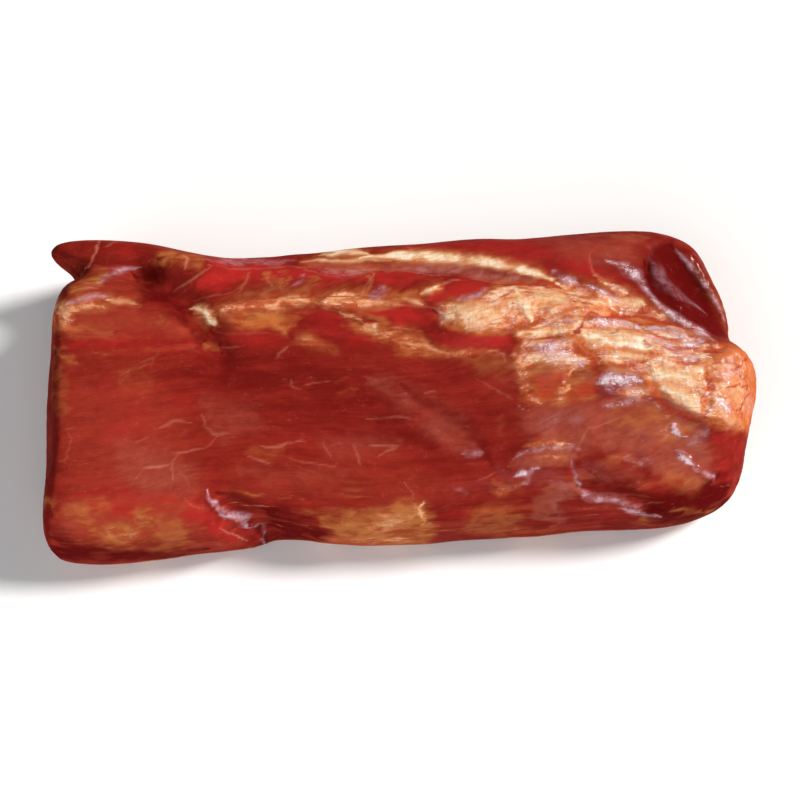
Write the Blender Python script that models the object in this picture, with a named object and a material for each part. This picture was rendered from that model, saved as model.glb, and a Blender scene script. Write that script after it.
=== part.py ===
"""Smoked pork fillet: one boneless, trimmed length of smoked loin, lying with its rib side up.

The fillet is one solid. It is built as a box whose faces are divided into a grid, and every point
of that grid is then carried to its place on the meat: the sides become rounded flanks between the
outline and the flat base, and the top becomes a plateau with the muscles, folds and hollow in it.
Lengths inside the shape functions are millimetres, and the mesh is made in metres. +X runs along
the fillet towards its silverskin end, +Y towards its back edge, and +Z is up.
"""

import bmesh
import bpy
import numpy as np

MM = 0.001

# The driving sizes of the piece, in millimetres.
LENGTH = 274.0
WIDTH = 131.0
FIELD_HEIGHT = 46.0
GIRTH_LEVEL = 19.0

# How far the rounded flank reaches in from the outline, above and below the girth. Around the middle
# of the piece, within the blend lengths along x and y, one side's reach passes into the other's.
SHOULDER_IN = {"left": 9.0, "right": 20.0, "front": 21.0, "back": 20.0}
FOOT_IN = {"left": 5.0, "right": 11.0, "front": 9.0, "back": 10.0}
REACH_BLEND = (40.0, 20.0)
FLANK_SQUARENESS = 2.3

# The grid on the box: cells along the fillet, across it and up its flanks.
CELLS_X = 76
CELLS_Y = 36
CELLS_Z = 11
GIRTH_ROW = -0.2
ON_FACE = 1.0 - 1e-6

# The outline seen from above, side by side from corner to corner, as (x, y).
FRONT_EDGE = [(-129, -63.4), (-116, -64.4), (-96, -62.8), (-75, -60.2), (-56, -58.2), (-44, -57.0),
              (-20, -56.8), (8, -56.2), (30, -54.4), (60, -51.4), (88, -50.4), (104, -49.4)]
RIGHT_EDGE = [(115.4, -46.0), (126.6, -38.0), (131.4, -25.0), (134.4, -11.0), (137.4, 1.0), (136.0, 9.4),
              (131.2, 15.4), (127.8, 20.0), (127.0, 28.0), (124.4, 42.0)]
BACK_EDGE = [(117.8, 57.4), (107, 65.4), (92, 67.8), (66, 66.2), (38, 64.2), (8, 62.6), (-20, 60.0),
             (-42, 56.8), (-60, 55.8), (-80, 57.8), (-98, 61.6), (-112, 63.4)]
LEFT_EDGE = [(-120, 60.8), (-124.6, 54.0), (-128.6, 47.4), (-132.6, 39.0), (-135.4, 26.0), (-135.6, 8.0),
             (-135.2, -14.0), (-134.6, -34.0), (-134.2, -52.0), (-133.2, -60.0)]
CURVE_STEPS = 16

# The slow forms of the top: a crown across it, a rise towards the silverskin end and a soft waviness.
CROWN = 2.0
END_RISE = 3.0
END_RISE_SPAN = (10.0, 90.0)
TOP_WAVE = 0.7
TOP_WAVE_LENGTHS = (17.0, 15.0)
TOP_WAVE_SHIFTS = (0.8, 0.4)

# Long forms on the top: (path of (x, y) points, half width, height; a groove has a negative height).
RIDGES = {
    "chain muscle": ([(-134, 30), (-100, 28), (-71, 25), (-38, 29), (8, 32), (44, 29), (70, 24)], 13.0, 5.5),
    "back strip": ([(-40, 56), (0, 56), (46, 52), (84, 48)], 9.0, 3.0),
    "silverskin crest": ([(30, 16), (58, 10), (92, 3), (122, -7)], 24.0, 6.0),
    "corner tongue": ([(-134, 58), (-116, 58), (-94, 53), (-74, 45)], 9.5, 5.5),
    "hollow's inner ridge": ([(94, 49), (102, 38), (113, 28)], 5.0, 4.5),
    "front swell": ([(-128, -44), (-104, -46), (-80, -50)], 13.0, 3.5),
}
GROOVES = {
    "long seam": ([(-134, 11), (-100, 12), (-60, 11), (-22, 15), (8, 11), (36, 8), (56, 14)], 6.0, -2.2),
    "chain cleft": ([(-100, 42), (-89, 34), (-81, 28), (-75, 20), (-70, 11), (-69, 3)], 8.0, -6.5),
    "tongue cleft": ([(-137, 45), (-124, 45), (-108, 45), (-98, 43)], 6.5, -5.5),
    "fat seam": ([(-60, 47), (-27, 45), (4, 43), (30, 40), (56, 33), (84, 24), (112, 16), (126, 19)],
                 6.5, -3.4),
    "chain split": ([(-36, 21), (-14, 17), (10, 22), (34, 24)], 6.0, -1.8),
    "knuckle crease": ([(40, 20), (66, 19), (90, 14), (112, 4), (122, 2)], 6.0, -2.0),
    "muscle arc": ([(-2, -8), (15, -17), (29, -29), (38, -44)], 6.0, -1.0),
    "lower crease": ([(60, -24), (66, -36), (69, -45), (82, -50)], 6.0, -2.4),
    "lower dent": ([(74, -26), (92, -30), (108, -28)], 7.0, -2.0),
}

# The dark hollow behind the silverskin end, and the swellings of the right end: centre, half axes,
# the turn of the long axis in degrees, and height.
SWELLINGS = {
    "hollow": ((111, 38), (27.0, 11.5), -54.0, -18.0),
    "end knob": ((124, 4), (13.0, 14.0), 0.0, 4.0),
    "thin front": ((-24, -50), (26.0, 12.0), 0.0, -4.0),
    "left sag": ((-128, -10), (24.0, 46.0), 0.0, -2.5),
    "right slope": ((112, -42), (38.0, 20.0), -18.0, -5.0),
}

# The tongue of meat that stands out over the left end, high on the back corner, and the notch that
# parts it from the cut end in front of it.
TONGUE_Y = 57.5
TONGUE_HALF_WIDTH = 10.5
TONGUE_REACH = 17.0
TONGUE_UNDERSIDE = (20.0, 37.0)
TONGUE_ROOT = (-121.0, -98.0)
NOTCH_Y = 46.5
NOTCH_HALF_WIDTH = 5.0
NOTCH_DEPTH = 4.0

# The fold in the front flank: where it starts on the top, where it ends at the foot, and how far
# the flank steps in beyond it.
FOLD_TOP_X = -76.0
FOLD_FOOT_X = -52.0
FOLD_STEP = 6.5
FOLD_EDGE = 5.0
FOLD_RUN = 46.0
FOLD_SHARE_ON_SHOULDER = 0.15
FOLD_FACE = (36.0, 50.0)
FOLD_LIFT = (0.0, 6.0)

# The slow unevenness of the flanks, which dies out towards the flat base.
BROAD_SWELL = 1.1
BROAD_SWELL_LENGTHS = (13.0, 21.0, 11.0)
BROAD_SWELL_SHIFT = 0.5
SMALL_SWELL = 0.6
SMALL_SWELL_LENGTHS = (6.5, 9.0, 9.0)
SMALL_SWELL_SHIFT = 1.3
SWELL_LIFT = (0.0, 8.0)

# The grid is evened a little after it is placed, because it is coarser than the sharpest clefts.
EVEN_ROUNDS = 2
EVEN_SHARE = 0.45

BASE_COLOUR = (0.26, 0.022, 0.014, 1.0)
BASE_ROUGHNESS = 0.32


def smooth_step(value, low, high):
    """0 below low, 1 above high, and a smooth rise between them."""
    t = np.clip((value - low) / (high - low), 0.0, 1.0)
    return t * t * (3.0 - 2.0 * t)


def bell(distance, half_width):
    """1 at distance 0, falling smoothly to 0 at the half width."""
    t = np.clip(distance / half_width, 0.0, 1.0)
    return (1.0 - t * t) ** 2


def lobe(distance, half_width):
    """Like the bell, but blunt: it stays near 1 for longer, as the tip of a round tongue does."""
    t = np.clip(distance / half_width, 0.0, 1.0)
    return (1.0 - t**4) ** 1.5


def curve_through(points, closed=False, steps=CURVE_STEPS):
    """A smooth Catmull-Rom curve through the points, with the same number of steps between each two."""
    given = np.array(points, float)
    if closed:
        padded = np.vstack([given[-1:], given, given[:2]])
        spans = len(given)
    else:
        padded = np.vstack([2 * given[0] - given[1], given, 2 * given[-1] - given[-2]])
        spans = len(given) - 1
    t = np.linspace(0.0, 1.0, steps, endpoint=False)[:, None]
    pieces = []
    for i in range(spans):
        a, b, c, d = padded[i:i + 4]
        pieces.append(0.5 * (2 * b + (c - a) * t + (2 * a - 5 * b + 4 * c - d) * t**2
                             + (3 * b - a - 3 * c + d) * t**3))
    if not closed:
        pieces.append(given[-1:])
    return np.vstack(pieces)


def distance_to(x, y, points):
    """For each (x, y), how far it is from the smooth curve through the points."""
    path = curve_through(points, steps=6)
    nearest = np.full(np.shape(x), 1e9)
    for (ax, ay), (bx, by) in zip(path[:-1], path[1:]):
        dx, dy = bx - ax, by - ay
        t = np.clip(((x - ax) * dx + (y - ay) * dy) / (dx * dx + dy * dy), 0.0, 1.0)
        nearest = np.minimum(nearest, np.hypot(x - ax - t * dx, y - ay - t * dy))
    return nearest


def swelling(x, y, centre, half_axes, turn, height):
    """A smooth oval rise, or a hollow where the height is negative."""
    angle = np.radians(turn)
    dx, dy = x - centre[0], y - centre[1]
    along = dx * np.cos(angle) + dy * np.sin(angle)
    across = -dx * np.sin(angle) + dy * np.cos(angle)
    return height * bell(np.hypot(along / half_axes[0], across / half_axes[1]), 1.0)


def top_height(x, y):
    """The height of the fillet's upper side, with every muscle, groove and fold in it."""
    height = np.full(np.shape(x), FIELD_HEIGHT)
    height += CROWN * (1.0 - (y / (WIDTH / 2)) ** 2)
    height += END_RISE * smooth_step(x, *END_RISE_SPAN)
    wave_x = np.sin(x / TOP_WAVE_LENGTHS[0] + TOP_WAVE_SHIFTS[0])
    wave_y = np.sin(y / TOP_WAVE_LENGTHS[1] + TOP_WAVE_SHIFTS[1])
    height += TOP_WAVE * wave_x * wave_y
    for points, half_width, rise in list(RIDGES.values()) + list(GROOVES.values()):
        height += rise * bell(distance_to(x, y, points), half_width)
    for centre, half_axes, turn, rise in SWELLINGS.values():
        height += swelling(x, y, centre, half_axes, turn, rise)
    return height


def outline():
    """The closed outline, and the place on it of the box's four upright edges."""
    corners = np.cumsum([0, len(FRONT_EDGE), len(RIGHT_EDGE), len(BACK_EDGE), len(LEFT_EDGE)])
    curve = curve_through(FRONT_EDGE + RIGHT_EDGE + BACK_EDGE + LEFT_EDGE, closed=True)
    return np.vstack([curve, curve[:1]]), corners * CURVE_STEPS


def drawn_in(points, reach):
    """The outline's points moved in towards the middle by each side's reach."""
    half_length, half_width = LENGTH / 2, WIDTH / 2
    blend_x, blend_y = REACH_BLEND
    to_right = smooth_step(points[:, 0], -blend_x, blend_x)
    to_back = smooth_step(points[:, 1], -blend_y, blend_y)
    in_x = reach["left"] + (reach["right"] - reach["left"]) * to_right
    in_y = reach["front"] + (reach["back"] - reach["front"]) * to_back
    return points * np.column_stack([1 - in_x / half_length, 1 - in_y / half_width])


def around(curve, corners, box):
    """The curve's point for each grid point on the box's four upright sides."""
    a, b = box[:, 0], box[:, 1]
    along_x, along_y = (a + 1) / 2, (b + 1) / 2
    side = np.select([b <= -ON_FACE, a >= ON_FACE, b >= ON_FACE], [0, 1, 2], 3)
    share = np.select([side == 0, side == 1, side == 2], [along_x, along_y, 1 - along_x], 1 - along_y)
    place = corners[side] + share * (corners[side + 1] - corners[side])
    steps = np.arange(len(curve))
    return np.column_stack([np.interp(place, steps, curve[:, k]) for k in range(2)])


def filled(curve, corners, box):
    """A Coons patch: the point inside the curve for each grid point on the box's top or bottom."""
    a, b = box[:, 0], box[:, 1]
    u, v = ((a + 1) / 2)[:, None], ((b + 1) / 2)[:, None]
    low, high = np.full(len(box), -1.0), np.full(len(box), 1.0)
    edge = {name: around(curve, corners, np.column_stack(pair)) for name, pair in {
        "front": (a, low), "back": (a, high), "left": (low, b), "right": (high, b),
        "front left": (low, low), "front right": (high, low),
        "back left": (low, high), "back right": (high, high)}.items()}
    ruled = (1 - v) * edge["front"] + v * edge["back"] + (1 - u) * edge["left"] + u * edge["right"]
    corner = ((1 - u) * (1 - v) * edge["front left"] + u * (1 - v) * edge["front right"]
              + (1 - u) * v * edge["back left"] + u * v * edge["back right"])
    return ruled - corner


def fold_in_front(x, z):
    """How far the front flank steps in beyond the fold that runs down it."""
    line = FOLD_FOOT_X + (FOLD_TOP_X - FOLD_FOOT_X) * np.clip(z / FIELD_HEIGHT, 0.0, 1.0)
    beyond = x - line
    return FOLD_STEP * smooth_step(beyond, 0.0, FOLD_EDGE) * (1 - smooth_step(beyond, FOLD_EDGE, FOLD_RUN))


def tongue_reach(x, y, z):
    """How far the tongue at the back corner stands out to the left, less the notch in front of it."""
    tongue = TONGUE_REACH * lobe(np.abs(y - TONGUE_Y), TONGUE_HALF_WIDTH)
    notch = NOTCH_DEPTH * bell(np.abs(y - NOTCH_Y), NOTCH_HALF_WIDTH)
    return (tongue - notch) * smooth_step(z, *TONGUE_UNDERSIDE) * (1 - smooth_step(x, *TONGUE_ROOT))


def flank_swell(x, y, z):
    """The slow unevenness of the flanks."""
    long_x, long_y, long_z = BROAD_SWELL_LENGTHS
    broad = BROAD_SWELL * np.sin(x / long_x + y / long_y) * np.sin(z / long_z + BROAD_SWELL_SHIFT)
    short_x, short_y, short_z = SMALL_SWELL_LENGTHS
    small = SMALL_SWELL * np.sin(x / short_x - z / short_z + SMALL_SWELL_SHIFT) * np.cos(y / short_y)
    return broad + small


def on_the_meat(box):
    """Carries the points of the gridded box, from -1 to 1 each way, to their places on the fillet."""
    curve, corners = outline()
    shoulder, foot = drawn_in(curve, SHOULDER_IN), drawn_in(curve, FOOT_IN)
    placed = np.zeros_like(box)
    on_top, on_base = box[:, 2] >= ON_FACE, box[:, 2] <= -ON_FACE
    inner = on_top & (np.abs(box[:, :2]).max(axis=1) < ON_FACE)
    placed[inner, :2] = filled(shoulder, corners, box[inner])
    placed[on_base, :2] = filled(foot, corners, box[on_base])
    placed[inner, 2] = top_height(placed[inner, 0], placed[inner, 1])
    placed[inner, 0] -= tongue_reach(*placed[inner].T)

    flank = ~inner & ~on_base
    rows = box[flank]
    edge = around(curve, corners, rows)
    above = rows[:, 2] >= GIRTH_ROW
    from_girth = rows[:, 2] - GIRTH_ROW
    turn = np.where(above, from_girth / (1 - GIRTH_ROW), -from_girth / (1 + GIRTH_ROW))
    power = 2 / FLANK_SQUARENESS
    out = np.cos(turn * np.pi / 2).clip(0) ** power
    rise = np.sin(turn * np.pi / 2).clip(0) ** power
    inside = np.where(above[:, None], around(shoulder, corners, rows), around(foot, corners, rows))
    plan = inside + (edge - inside) * out[:, None]
    top = top_height(plan[:, 0], plan[:, 1])
    z = np.where(above, GIRTH_LEVEL + (top - GIRTH_LEVEL) * rise, GIRTH_LEVEL * (1 - rise))

    outward = edge / np.linalg.norm(edge / [LENGTH / 2, WIDTH / 2], axis=1)[:, None]
    outward /= np.linalg.norm(outward, axis=1)[:, None]
    in_middle = np.sqrt(out) * smooth_step(z, *SWELL_LIFT)
    swell = flank_swell(plan[:, 0], plan[:, 1], z)
    plan += outward * (swell * in_middle)[:, None]
    facing_front = smooth_step(-edge[:, 1], *FOLD_FACE)
    down_flank = FOLD_SHARE_ON_SHOULDER + (1 - FOLD_SHARE_ON_SHOULDER) * out
    plan[:, 1] += fold_in_front(plan[:, 0], z) * facing_front * down_flank * smooth_step(z, *FOLD_LIFT)
    plan[:, 0] -= tongue_reach(plan[:, 0], plan[:, 1], z)
    placed[flank] = np.column_stack([plan, z])
    return placed


def gridded_box(cells):
    """A box from -1 to 1 whose faces are divided into the given cells along X, Y and Z."""
    bm = bmesh.new()
    bmesh.ops.create_cube(bm, size=2.0)
    for axis, count in enumerate(cells):
        along = [e for e in bm.edges if abs(e.verts[0].co[axis] - e.verts[1].co[axis]) > 1e-6]
        bmesh.ops.subdivide_edges(bm, edges=along, cuts=count - 1, use_grid_fill=True)
    return bm


def meat_material():
    """Dark, moist, smoked lean meat."""
    material = bpy.data.materials.new("smoked_lean")
    material.use_nodes = True
    shader = material.node_tree.nodes["Principled BSDF"]
    shader.inputs["Base Color"].default_value = BASE_COLOUR
    shader.inputs["Roughness"].default_value = BASE_ROUGHNESS
    shader.inputs["Metallic"].default_value = 0.0
    material.diffuse_color = BASE_COLOUR
    return material


def flatten_base(bm):
    """Makes the flat base one face, so that the fillet rests on one true plane."""
    flat = [f for f in bm.faces if all(v.co.z < 1e-7 for v in f.verts)]
    bmesh.ops.dissolve_faces(bm, faces=flat, use_verts=True)


def even_out(bm):
    """Smooths the grid above the base, so that steep clefts don't come out as a zigzag."""
    above = [v for v in bm.verts if v.co.z > 1e-7]
    for _ in range(EVEN_ROUNDS):
        bmesh.ops.smooth_vert(bm, verts=above, factor=EVEN_SHARE, use_axis_x=True, use_axis_y=True,
                              use_axis_z=True)


def build():
    """Makes the one solid, named pork_fillet, in a collection of its own."""
    for old in list(bpy.data.objects):
        bpy.data.objects.remove(old, do_unlink=True)
    collection = bpy.data.collections.new("smoked_pork_fillet")
    bpy.context.scene.collection.children.link(collection)

    bm = gridded_box((CELLS_X, CELLS_Y, CELLS_Z))
    placed = on_the_meat(np.array([v.co[:] for v in bm.verts]))
    low, high = placed.min(axis=0), placed.max(axis=0)
    placed[:, :2] -= (low[:2] + high[:2]) / 2
    for vertex, place in zip(bm.verts, placed * MM):
        vertex.co = place
    even_out(bm)
    flatten_base(bm)

    mesh = bpy.data.meshes.new("pork_fillet")
    bm.to_mesh(mesh)
    bm.free()
    mesh.materials.append(meat_material())
    mesh.shade_smooth()
    fillet = bpy.data.objects.new("pork_fillet", mesh)
    collection.objects.link(fillet)
    return fillet


build()
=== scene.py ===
# %% [markdown]
# # Smoked pork fillet
# This lesson dresses a plain solid of a smoked pork fillet so that it looks like the real meat. The
# solid already has the right size and its large forms. What it lacks is what the eye looks for in
# meat: bundles of fibre, seams between muscles, fat, silverskin that catches the light, and colour
# that changes from one muscle to the next. We start by loading the solid as a fixed frame, and keep
# its box, because the finished fillet has to stay inside it.

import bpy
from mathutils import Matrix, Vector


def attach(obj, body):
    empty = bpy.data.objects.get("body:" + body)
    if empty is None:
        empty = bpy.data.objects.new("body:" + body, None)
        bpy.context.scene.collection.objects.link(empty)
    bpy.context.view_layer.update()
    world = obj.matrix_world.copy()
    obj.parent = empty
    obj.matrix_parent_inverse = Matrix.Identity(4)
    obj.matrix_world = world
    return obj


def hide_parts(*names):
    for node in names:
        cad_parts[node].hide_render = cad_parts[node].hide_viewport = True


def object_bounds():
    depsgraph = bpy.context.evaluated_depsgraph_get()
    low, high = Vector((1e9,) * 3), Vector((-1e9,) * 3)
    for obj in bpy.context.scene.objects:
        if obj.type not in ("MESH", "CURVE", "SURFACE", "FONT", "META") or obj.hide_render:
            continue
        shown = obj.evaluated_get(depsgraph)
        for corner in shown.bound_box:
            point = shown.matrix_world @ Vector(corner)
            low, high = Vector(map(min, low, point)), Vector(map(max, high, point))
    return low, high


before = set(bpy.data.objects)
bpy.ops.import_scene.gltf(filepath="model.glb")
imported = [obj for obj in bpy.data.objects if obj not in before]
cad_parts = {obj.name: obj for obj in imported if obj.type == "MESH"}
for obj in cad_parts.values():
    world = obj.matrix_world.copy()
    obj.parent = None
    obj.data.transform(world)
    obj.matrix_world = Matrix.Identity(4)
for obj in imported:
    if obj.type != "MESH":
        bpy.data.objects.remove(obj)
solid_box = [list(corner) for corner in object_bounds()]

import bpy
import numpy as np
from mathutils import Euler, Vector

MM = 0.001
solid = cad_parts["pork_fillet"]
box_low, box_high = np.array(solid_box[0]), np.array(solid_box[1])
print("solid, in millimetres:", np.round((box_high - box_low) / MM, 1))

# %% [markdown]
# ## Where we look from
# The photograph looks down on the fillet from the front, steeply, so that the top fills the picture
# and the front flank is a narrow strip along its lower edge. We could place the camera by eye, but
# this lesson also needs to know where each point of the meat falls in the photograph, so that seams
# and patches go where they are on the real piece. So the camera comes from a few numbers, and a
# small function repeats what the lens does with a point.

# %% Camera
CAMERA_ELEVATION = np.radians(68.0)
CAMERA_DISTANCE = 0.8561
CAMERA_AIM = np.array([0.0004, -0.0027, 0.0233])
LENS_MM = 100.0
SENSOR_MM = 36.0
PHOTO_SIDE = 800
PIXEL_MM = 0.385

to_camera = np.array([0.0, -np.cos(CAMERA_ELEVATION), np.sin(CAMERA_ELEVATION)])
picture_right = np.array([1.0, 0.0, 0.0])
picture_up = np.cross(to_camera, picture_right)
camera_place = CAMERA_AIM + to_camera * CAMERA_DISTANCE


def in_photo(points):
    """Where each point falls in the photograph, in its pixels from the left and from the top."""
    offset = points - camera_place
    scale = LENS_MM / SENSOR_MM * PHOTO_SIDE / (offset @ -to_camera)
    return np.column_stack([PHOTO_SIDE / 2 + scale * (offset @ picture_right),
                            PHOTO_SIDE / 2 - scale * (offset @ picture_up)])


camera = bpy.data.objects.new("camera", bpy.data.cameras.new("camera"))
camera.data.lens = LENS_MM
camera.data.sensor_width = SENSOR_MM
camera.location = camera_place
camera.rotation_euler = Euler((np.pi / 2 - CAMERA_ELEVATION, 0.0, 0.0))
bpy.context.scene.collection.objects.link(camera)
bpy.context.scene.camera = camera
print("camera at", np.round(camera_place, 3))

# %% [markdown]
# ## A finer skin over the solid
# The solid has facets a few millimetres wide. Fibres are under a millimetre wide, so the meat needs
# far more points. Subdividing the solid's triangles would keep their facets as faint stars. A voxel
# remesh is better here: it lays even square cells over the whole form, a short smoothing takes the
# facets out, and one subdivision halves the cells.

# %% Remesh, smooth and subdivide
CELL = 0.0013
SOFTENING_ROUNDS = 9

meat = bpy.data.objects.new("smoked_fillet", solid.data.copy())
bpy.context.scene.collection.objects.link(meat)


def average_points(name, rounds):
    """Adds a modifier to the meat that draws each point towards its neighbours, round after round."""
    averaging = meat.modifiers.new(name, "SMOOTH")
    averaging.factor = 0.5
    averaging.iterations = rounds
    return averaging


def modified():
    """The meat as its modifiers make it."""
    return meat.evaluated_get(bpy.context.evaluated_depsgraph_get())


def places_and_directions(mesh):
    """Every point's place, and the direction in which the surface faces there."""
    places = np.empty(len(mesh.vertices) * 3)
    directions = np.empty(len(mesh.vertices) * 3)
    mesh.vertices.foreach_get("co", places)
    mesh.vertex_normals.foreach_get("vector", directions)
    return places.reshape(-1, 3), directions.reshape(-1, 3)


cells = meat.modifiers.new("even cells", "REMESH")
cells.mode = "VOXEL"
cells.voxel_size = CELL
average_points("soften the facets", SOFTENING_ROUNDS)
halve = meat.modifiers.new("halve the cells", "SUBSURF")
halve.levels = 1
halve.render_levels = 1
fine_mesh = bpy.data.meshes.new_from_object(modified())
meat.modifiers.clear()
meat.data = fine_mesh
meat.data.name = "smoked_fillet"

smooth_place, outward = places_and_directions(meat.data)
count = len(smooth_place)
print(count, "points on the meat")

# %% [markdown]
# ## Soft steps and noise
# Everything on the meat is made from a few small tools. A soft step turns a distance into an edge.
# Noise gives the unevenness of real tissue. Blender has both as nodes, but the relief is made in the
# mesh, so we write them as functions that work on all the points at once. The noise scatters a
# number over every corner of a grid of cells and blends between the corners.

# %% Soft steps and noise
SCATTER = (73856093, 19349663, 83492791)
SEED_SCATTER = 48611
STIR = 1274126177
LOW_32_BITS = 0xFFFFFFFF
LOW_16_BITS = 0xFFFF


def soft_step(value, low, high):
    """0 below low, 1 above high, and a smooth rise between them."""
    t = np.clip((value - low) / (high - low), 0.0, 1.0)
    return t * t * (3.0 - 2.0 * t)


def noise(points, seed):
    """Smooth noise between -1 and 1, with features about one unit wide."""
    cell = np.floor(points).astype(np.int64)
    part = points - cell
    part = part**3 * (part * (part * 6.0 - 15.0) + 10.0)
    total = np.zeros(len(points))
    for corner in np.ndindex(2, 2, 2):
        x, y, z = ((cell + corner) * SCATTER).T
        mixed = x ^ y ^ z ^ seed * SEED_SCATTER
        mixed = (mixed ^ (mixed >> 13)) * STIR & LOW_32_BITS
        mixed ^= mixed >> 16
        share = np.prod(np.where(corner, part, 1.0 - part), axis=1)
        total += share * ((mixed & LOW_16_BITS) / (LOW_16_BITS / 2) - 1.0)
    return total


def rough_noise(points, seed, octaves=3):
    """Noise with finer and finer noise added to it."""
    total = sum(noise(points * 2.0**k, seed + k) / 2.0**k for k in range(octaves))
    return total / 1.5


three_places = np.array([[0.5, 0.5, 0.5], [1.5, 0.5, 0.5], [2.5, 0.5, 0.5]])
print("noise at three places:", noise(three_places, 1).round(2))

# %% [markdown]
# ## Paths and areas
# The places of seams, veins and patches were read off the photograph. A path is a smooth curve
# through a few of them, with a half width at each, so one tool draws a hair-thin vein and a broad
# streak of fat. An area is a closed outline. Both are measured in the photograph's pixels, because
# that is where they are seen, but half widths are in millimetres, because that is how wide they are
# on the meat. Painting the same marks by hand would be quicker once, and much slower to correct.

# %% Curves and outlines
END_WIDTH = 0.35
TAPER_SHARE = 0.22
THINNEST_PIXELS = 0.3
PATH_REACH = 2.4
FAR_OFF = 9.0


def curve_through(points, steps=5):
    """A smooth Catmull-Rom curve through the points."""
    given = np.array(points, float)
    if len(given) == 2:
        return given
    padded = np.vstack([2 * given[0] - given[1], given, 2 * given[-1] - given[-2]])
    t = np.linspace(0.0, 1.0, steps, endpoint=False)[:, None]
    spans = []
    for a, b, c, d in zip(padded[:-3], padded[1:-2], padded[2:-1], padded[3:]):
        spans.append(0.5 * (2 * b + (c - a) * t + (2 * a - 5 * b + 4 * c - d) * t**2
                            + (3 * b - a - 3 * c + d) * t**3))
    return np.vstack(spans + [given[-1:]])


def near_path(places, path, pixel=PIXEL_MM):
    """The points near a path, and how far each is from it: 0 on the path and 1 at its half width."""
    curve = curve_through(path)
    along = np.linspace(0.0, 1.0, len(curve))
    taper = END_WIDTH + (1.0 - END_WIDTH) * soft_step(np.minimum(along, 1.0 - along), 0.0, TAPER_SHARE)
    widths = np.maximum(curve[:, 2] * taper / pixel, THINNEST_PIXELS)
    reach = PATH_REACH * widths.max()
    low, high = curve[:, :2].min(axis=0) - reach, curve[:, :2].max(axis=0) + reach
    near = np.flatnonzero(((places > low) & (places < high)).all(axis=1))
    x, y = places[near].T
    share = np.full(len(near), FAR_OFF)
    for (ax, ay, _), (bx, by, _), wide_a, wide_b in zip(curve[:-1], curve[1:], widths[:-1], widths[1:]):
        dx, dy = bx - ax, by - ay
        t = np.clip(((x - ax) * dx + (y - ay) * dy) / (dx * dx + dy * dy + 1e-9), 0.0, 1.0)
        gap = np.hypot(x - ax - t * dx, y - ay - t * dy)
        share = np.minimum(share, gap / (wide_a + (wide_b - wide_a) * t))
    return near, share


def inside_area(places, corners):
    """How far inside a closed outline each point is, in pixels: negative outside."""
    ring = np.array(corners, float)
    x, y = places.T
    gap = np.full(len(places), 1e9)
    inside = np.zeros(len(places), bool)
    for (ax, ay), (bx, by) in zip(ring, np.roll(ring, -1, axis=0)):
        dx, dy = bx - ax, by - ay
        t = np.clip(((x - ax) * dx + (y - ay) * dy) / (dx * dx + dy * dy), 0.0, 1.0)
        gap = np.minimum(gap, np.hypot(x - ax - t * dx, y - ay - t * dy))
        crosses = (ay > y) != (by > y)
        inside ^= crosses & (x < ax + dx * (y - ay) / (dy if dy else 1e-9))
    return np.where(inside, gap, -gap)


first_seen = in_photo(smooth_place)
print("the meat fills pixels", first_seen.min(axis=0).round(), "to", first_seen.max(axis=0).round())

# %% [markdown]
# ## Two slits made shallow
# The cleft round the side muscle closes to a slit at its head and its foot, which would show as a
# black line. On the meat both are soft dips. Averaging the points near them many times opens them, and
# a vertex group keeps the rest of the fillet as it is.

# %% Soften the slits
SLITS = [
    [(126, 268, 4.0), (140, 275, 6.0), (154, 280, 6.5), (166, 290, 5.0)],
    [(198, 322, 3.5), (208, 338, 5.0), (218, 354, 6.5), (228, 372, 7.0), (234, 388, 5.0)],
]
SLIT_ROUNDS = 140
SLIT_FADE = (0.6, 1.8)

near_slit = np.zeros(count)
for path in SLITS:
    near, share = near_path(first_seen, path)
    near_slit[near] = np.maximum(near_slit[near], 1.0 - soft_step(share, *SLIT_FADE))
# nothing that faces down is softened, so the foot of the meat stays on the table
near_slit *= soft_step(outward[:, 2], -0.2, 0.3)
group = meat.vertex_groups.new(name="slits")
for tenth in range(1, 11):
    members = np.flatnonzero(np.round(near_slit * 10.0) == tenth)
    group.add(members.tolist(), tenth / 10.0, "REPLACE")
average_points("open the slits", SLIT_ROUNDS).vertex_group = "slits"
smooth_place, outward = places_and_directions(modified().data)
meat.modifiers.clear()
meat.vertex_groups.clear()
print(int((near_slit > 0.05).sum()), "points softened")

# %% [markdown]
# ## The grain
# Muscle is bundles of long fibres. In this cut they run along the fillet, and on the side muscle
# along the back edge they slant across it. We give every point a grain coordinate: its first number
# changes slowly along the fibres, and the other two change across them. Noise read at that
# coordinate comes out as streaks on the top and flanks, and as dots on the cut ends, just as real
# fibres do.

# %% Grain coordinate
seen = in_photo(smooth_place)
place_mm = smooth_place / MM
# 1 where the photograph sees the surface, and 0 where it doesn't
facing = soft_step(outward @ to_camera, 0.02, 0.3)

MAIN_SLANT = 4.0
BEND_MM = 5.0
BEND_LENGTH_MM = 60.0
SLANTED_GRAIN = {
    "side muscle": (38.0, [
        (140, 262), (165, 256), (192, 260), (300, 264), (330, 268), (420, 272), (442, 280), (420, 297),
        (345, 297), (300, 298), (225, 304), (197, 310), (178, 302), (160, 286)]),
    "right slope": (24.0, [
        (520, 408), (600, 394), (655, 402), (700, 420), (750, 430), (745, 500), (660, 500), (600, 480),
        (575, 460), (530, 440)]),
}


def along_and_across(degrees):
    """Each point's place along and across fibres that slant by this much, in millimetres."""
    slant = np.radians(degrees)
    bend = BEND_MM * noise(place_mm / BEND_LENGTH_MM, 3)
    return (np.cos(slant) * place_mm[:, 0] + np.sin(slant) * place_mm[:, 1],
            np.cos(slant) * place_mm[:, 1] - np.sin(slant) * place_mm[:, 0] + bend)


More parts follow.
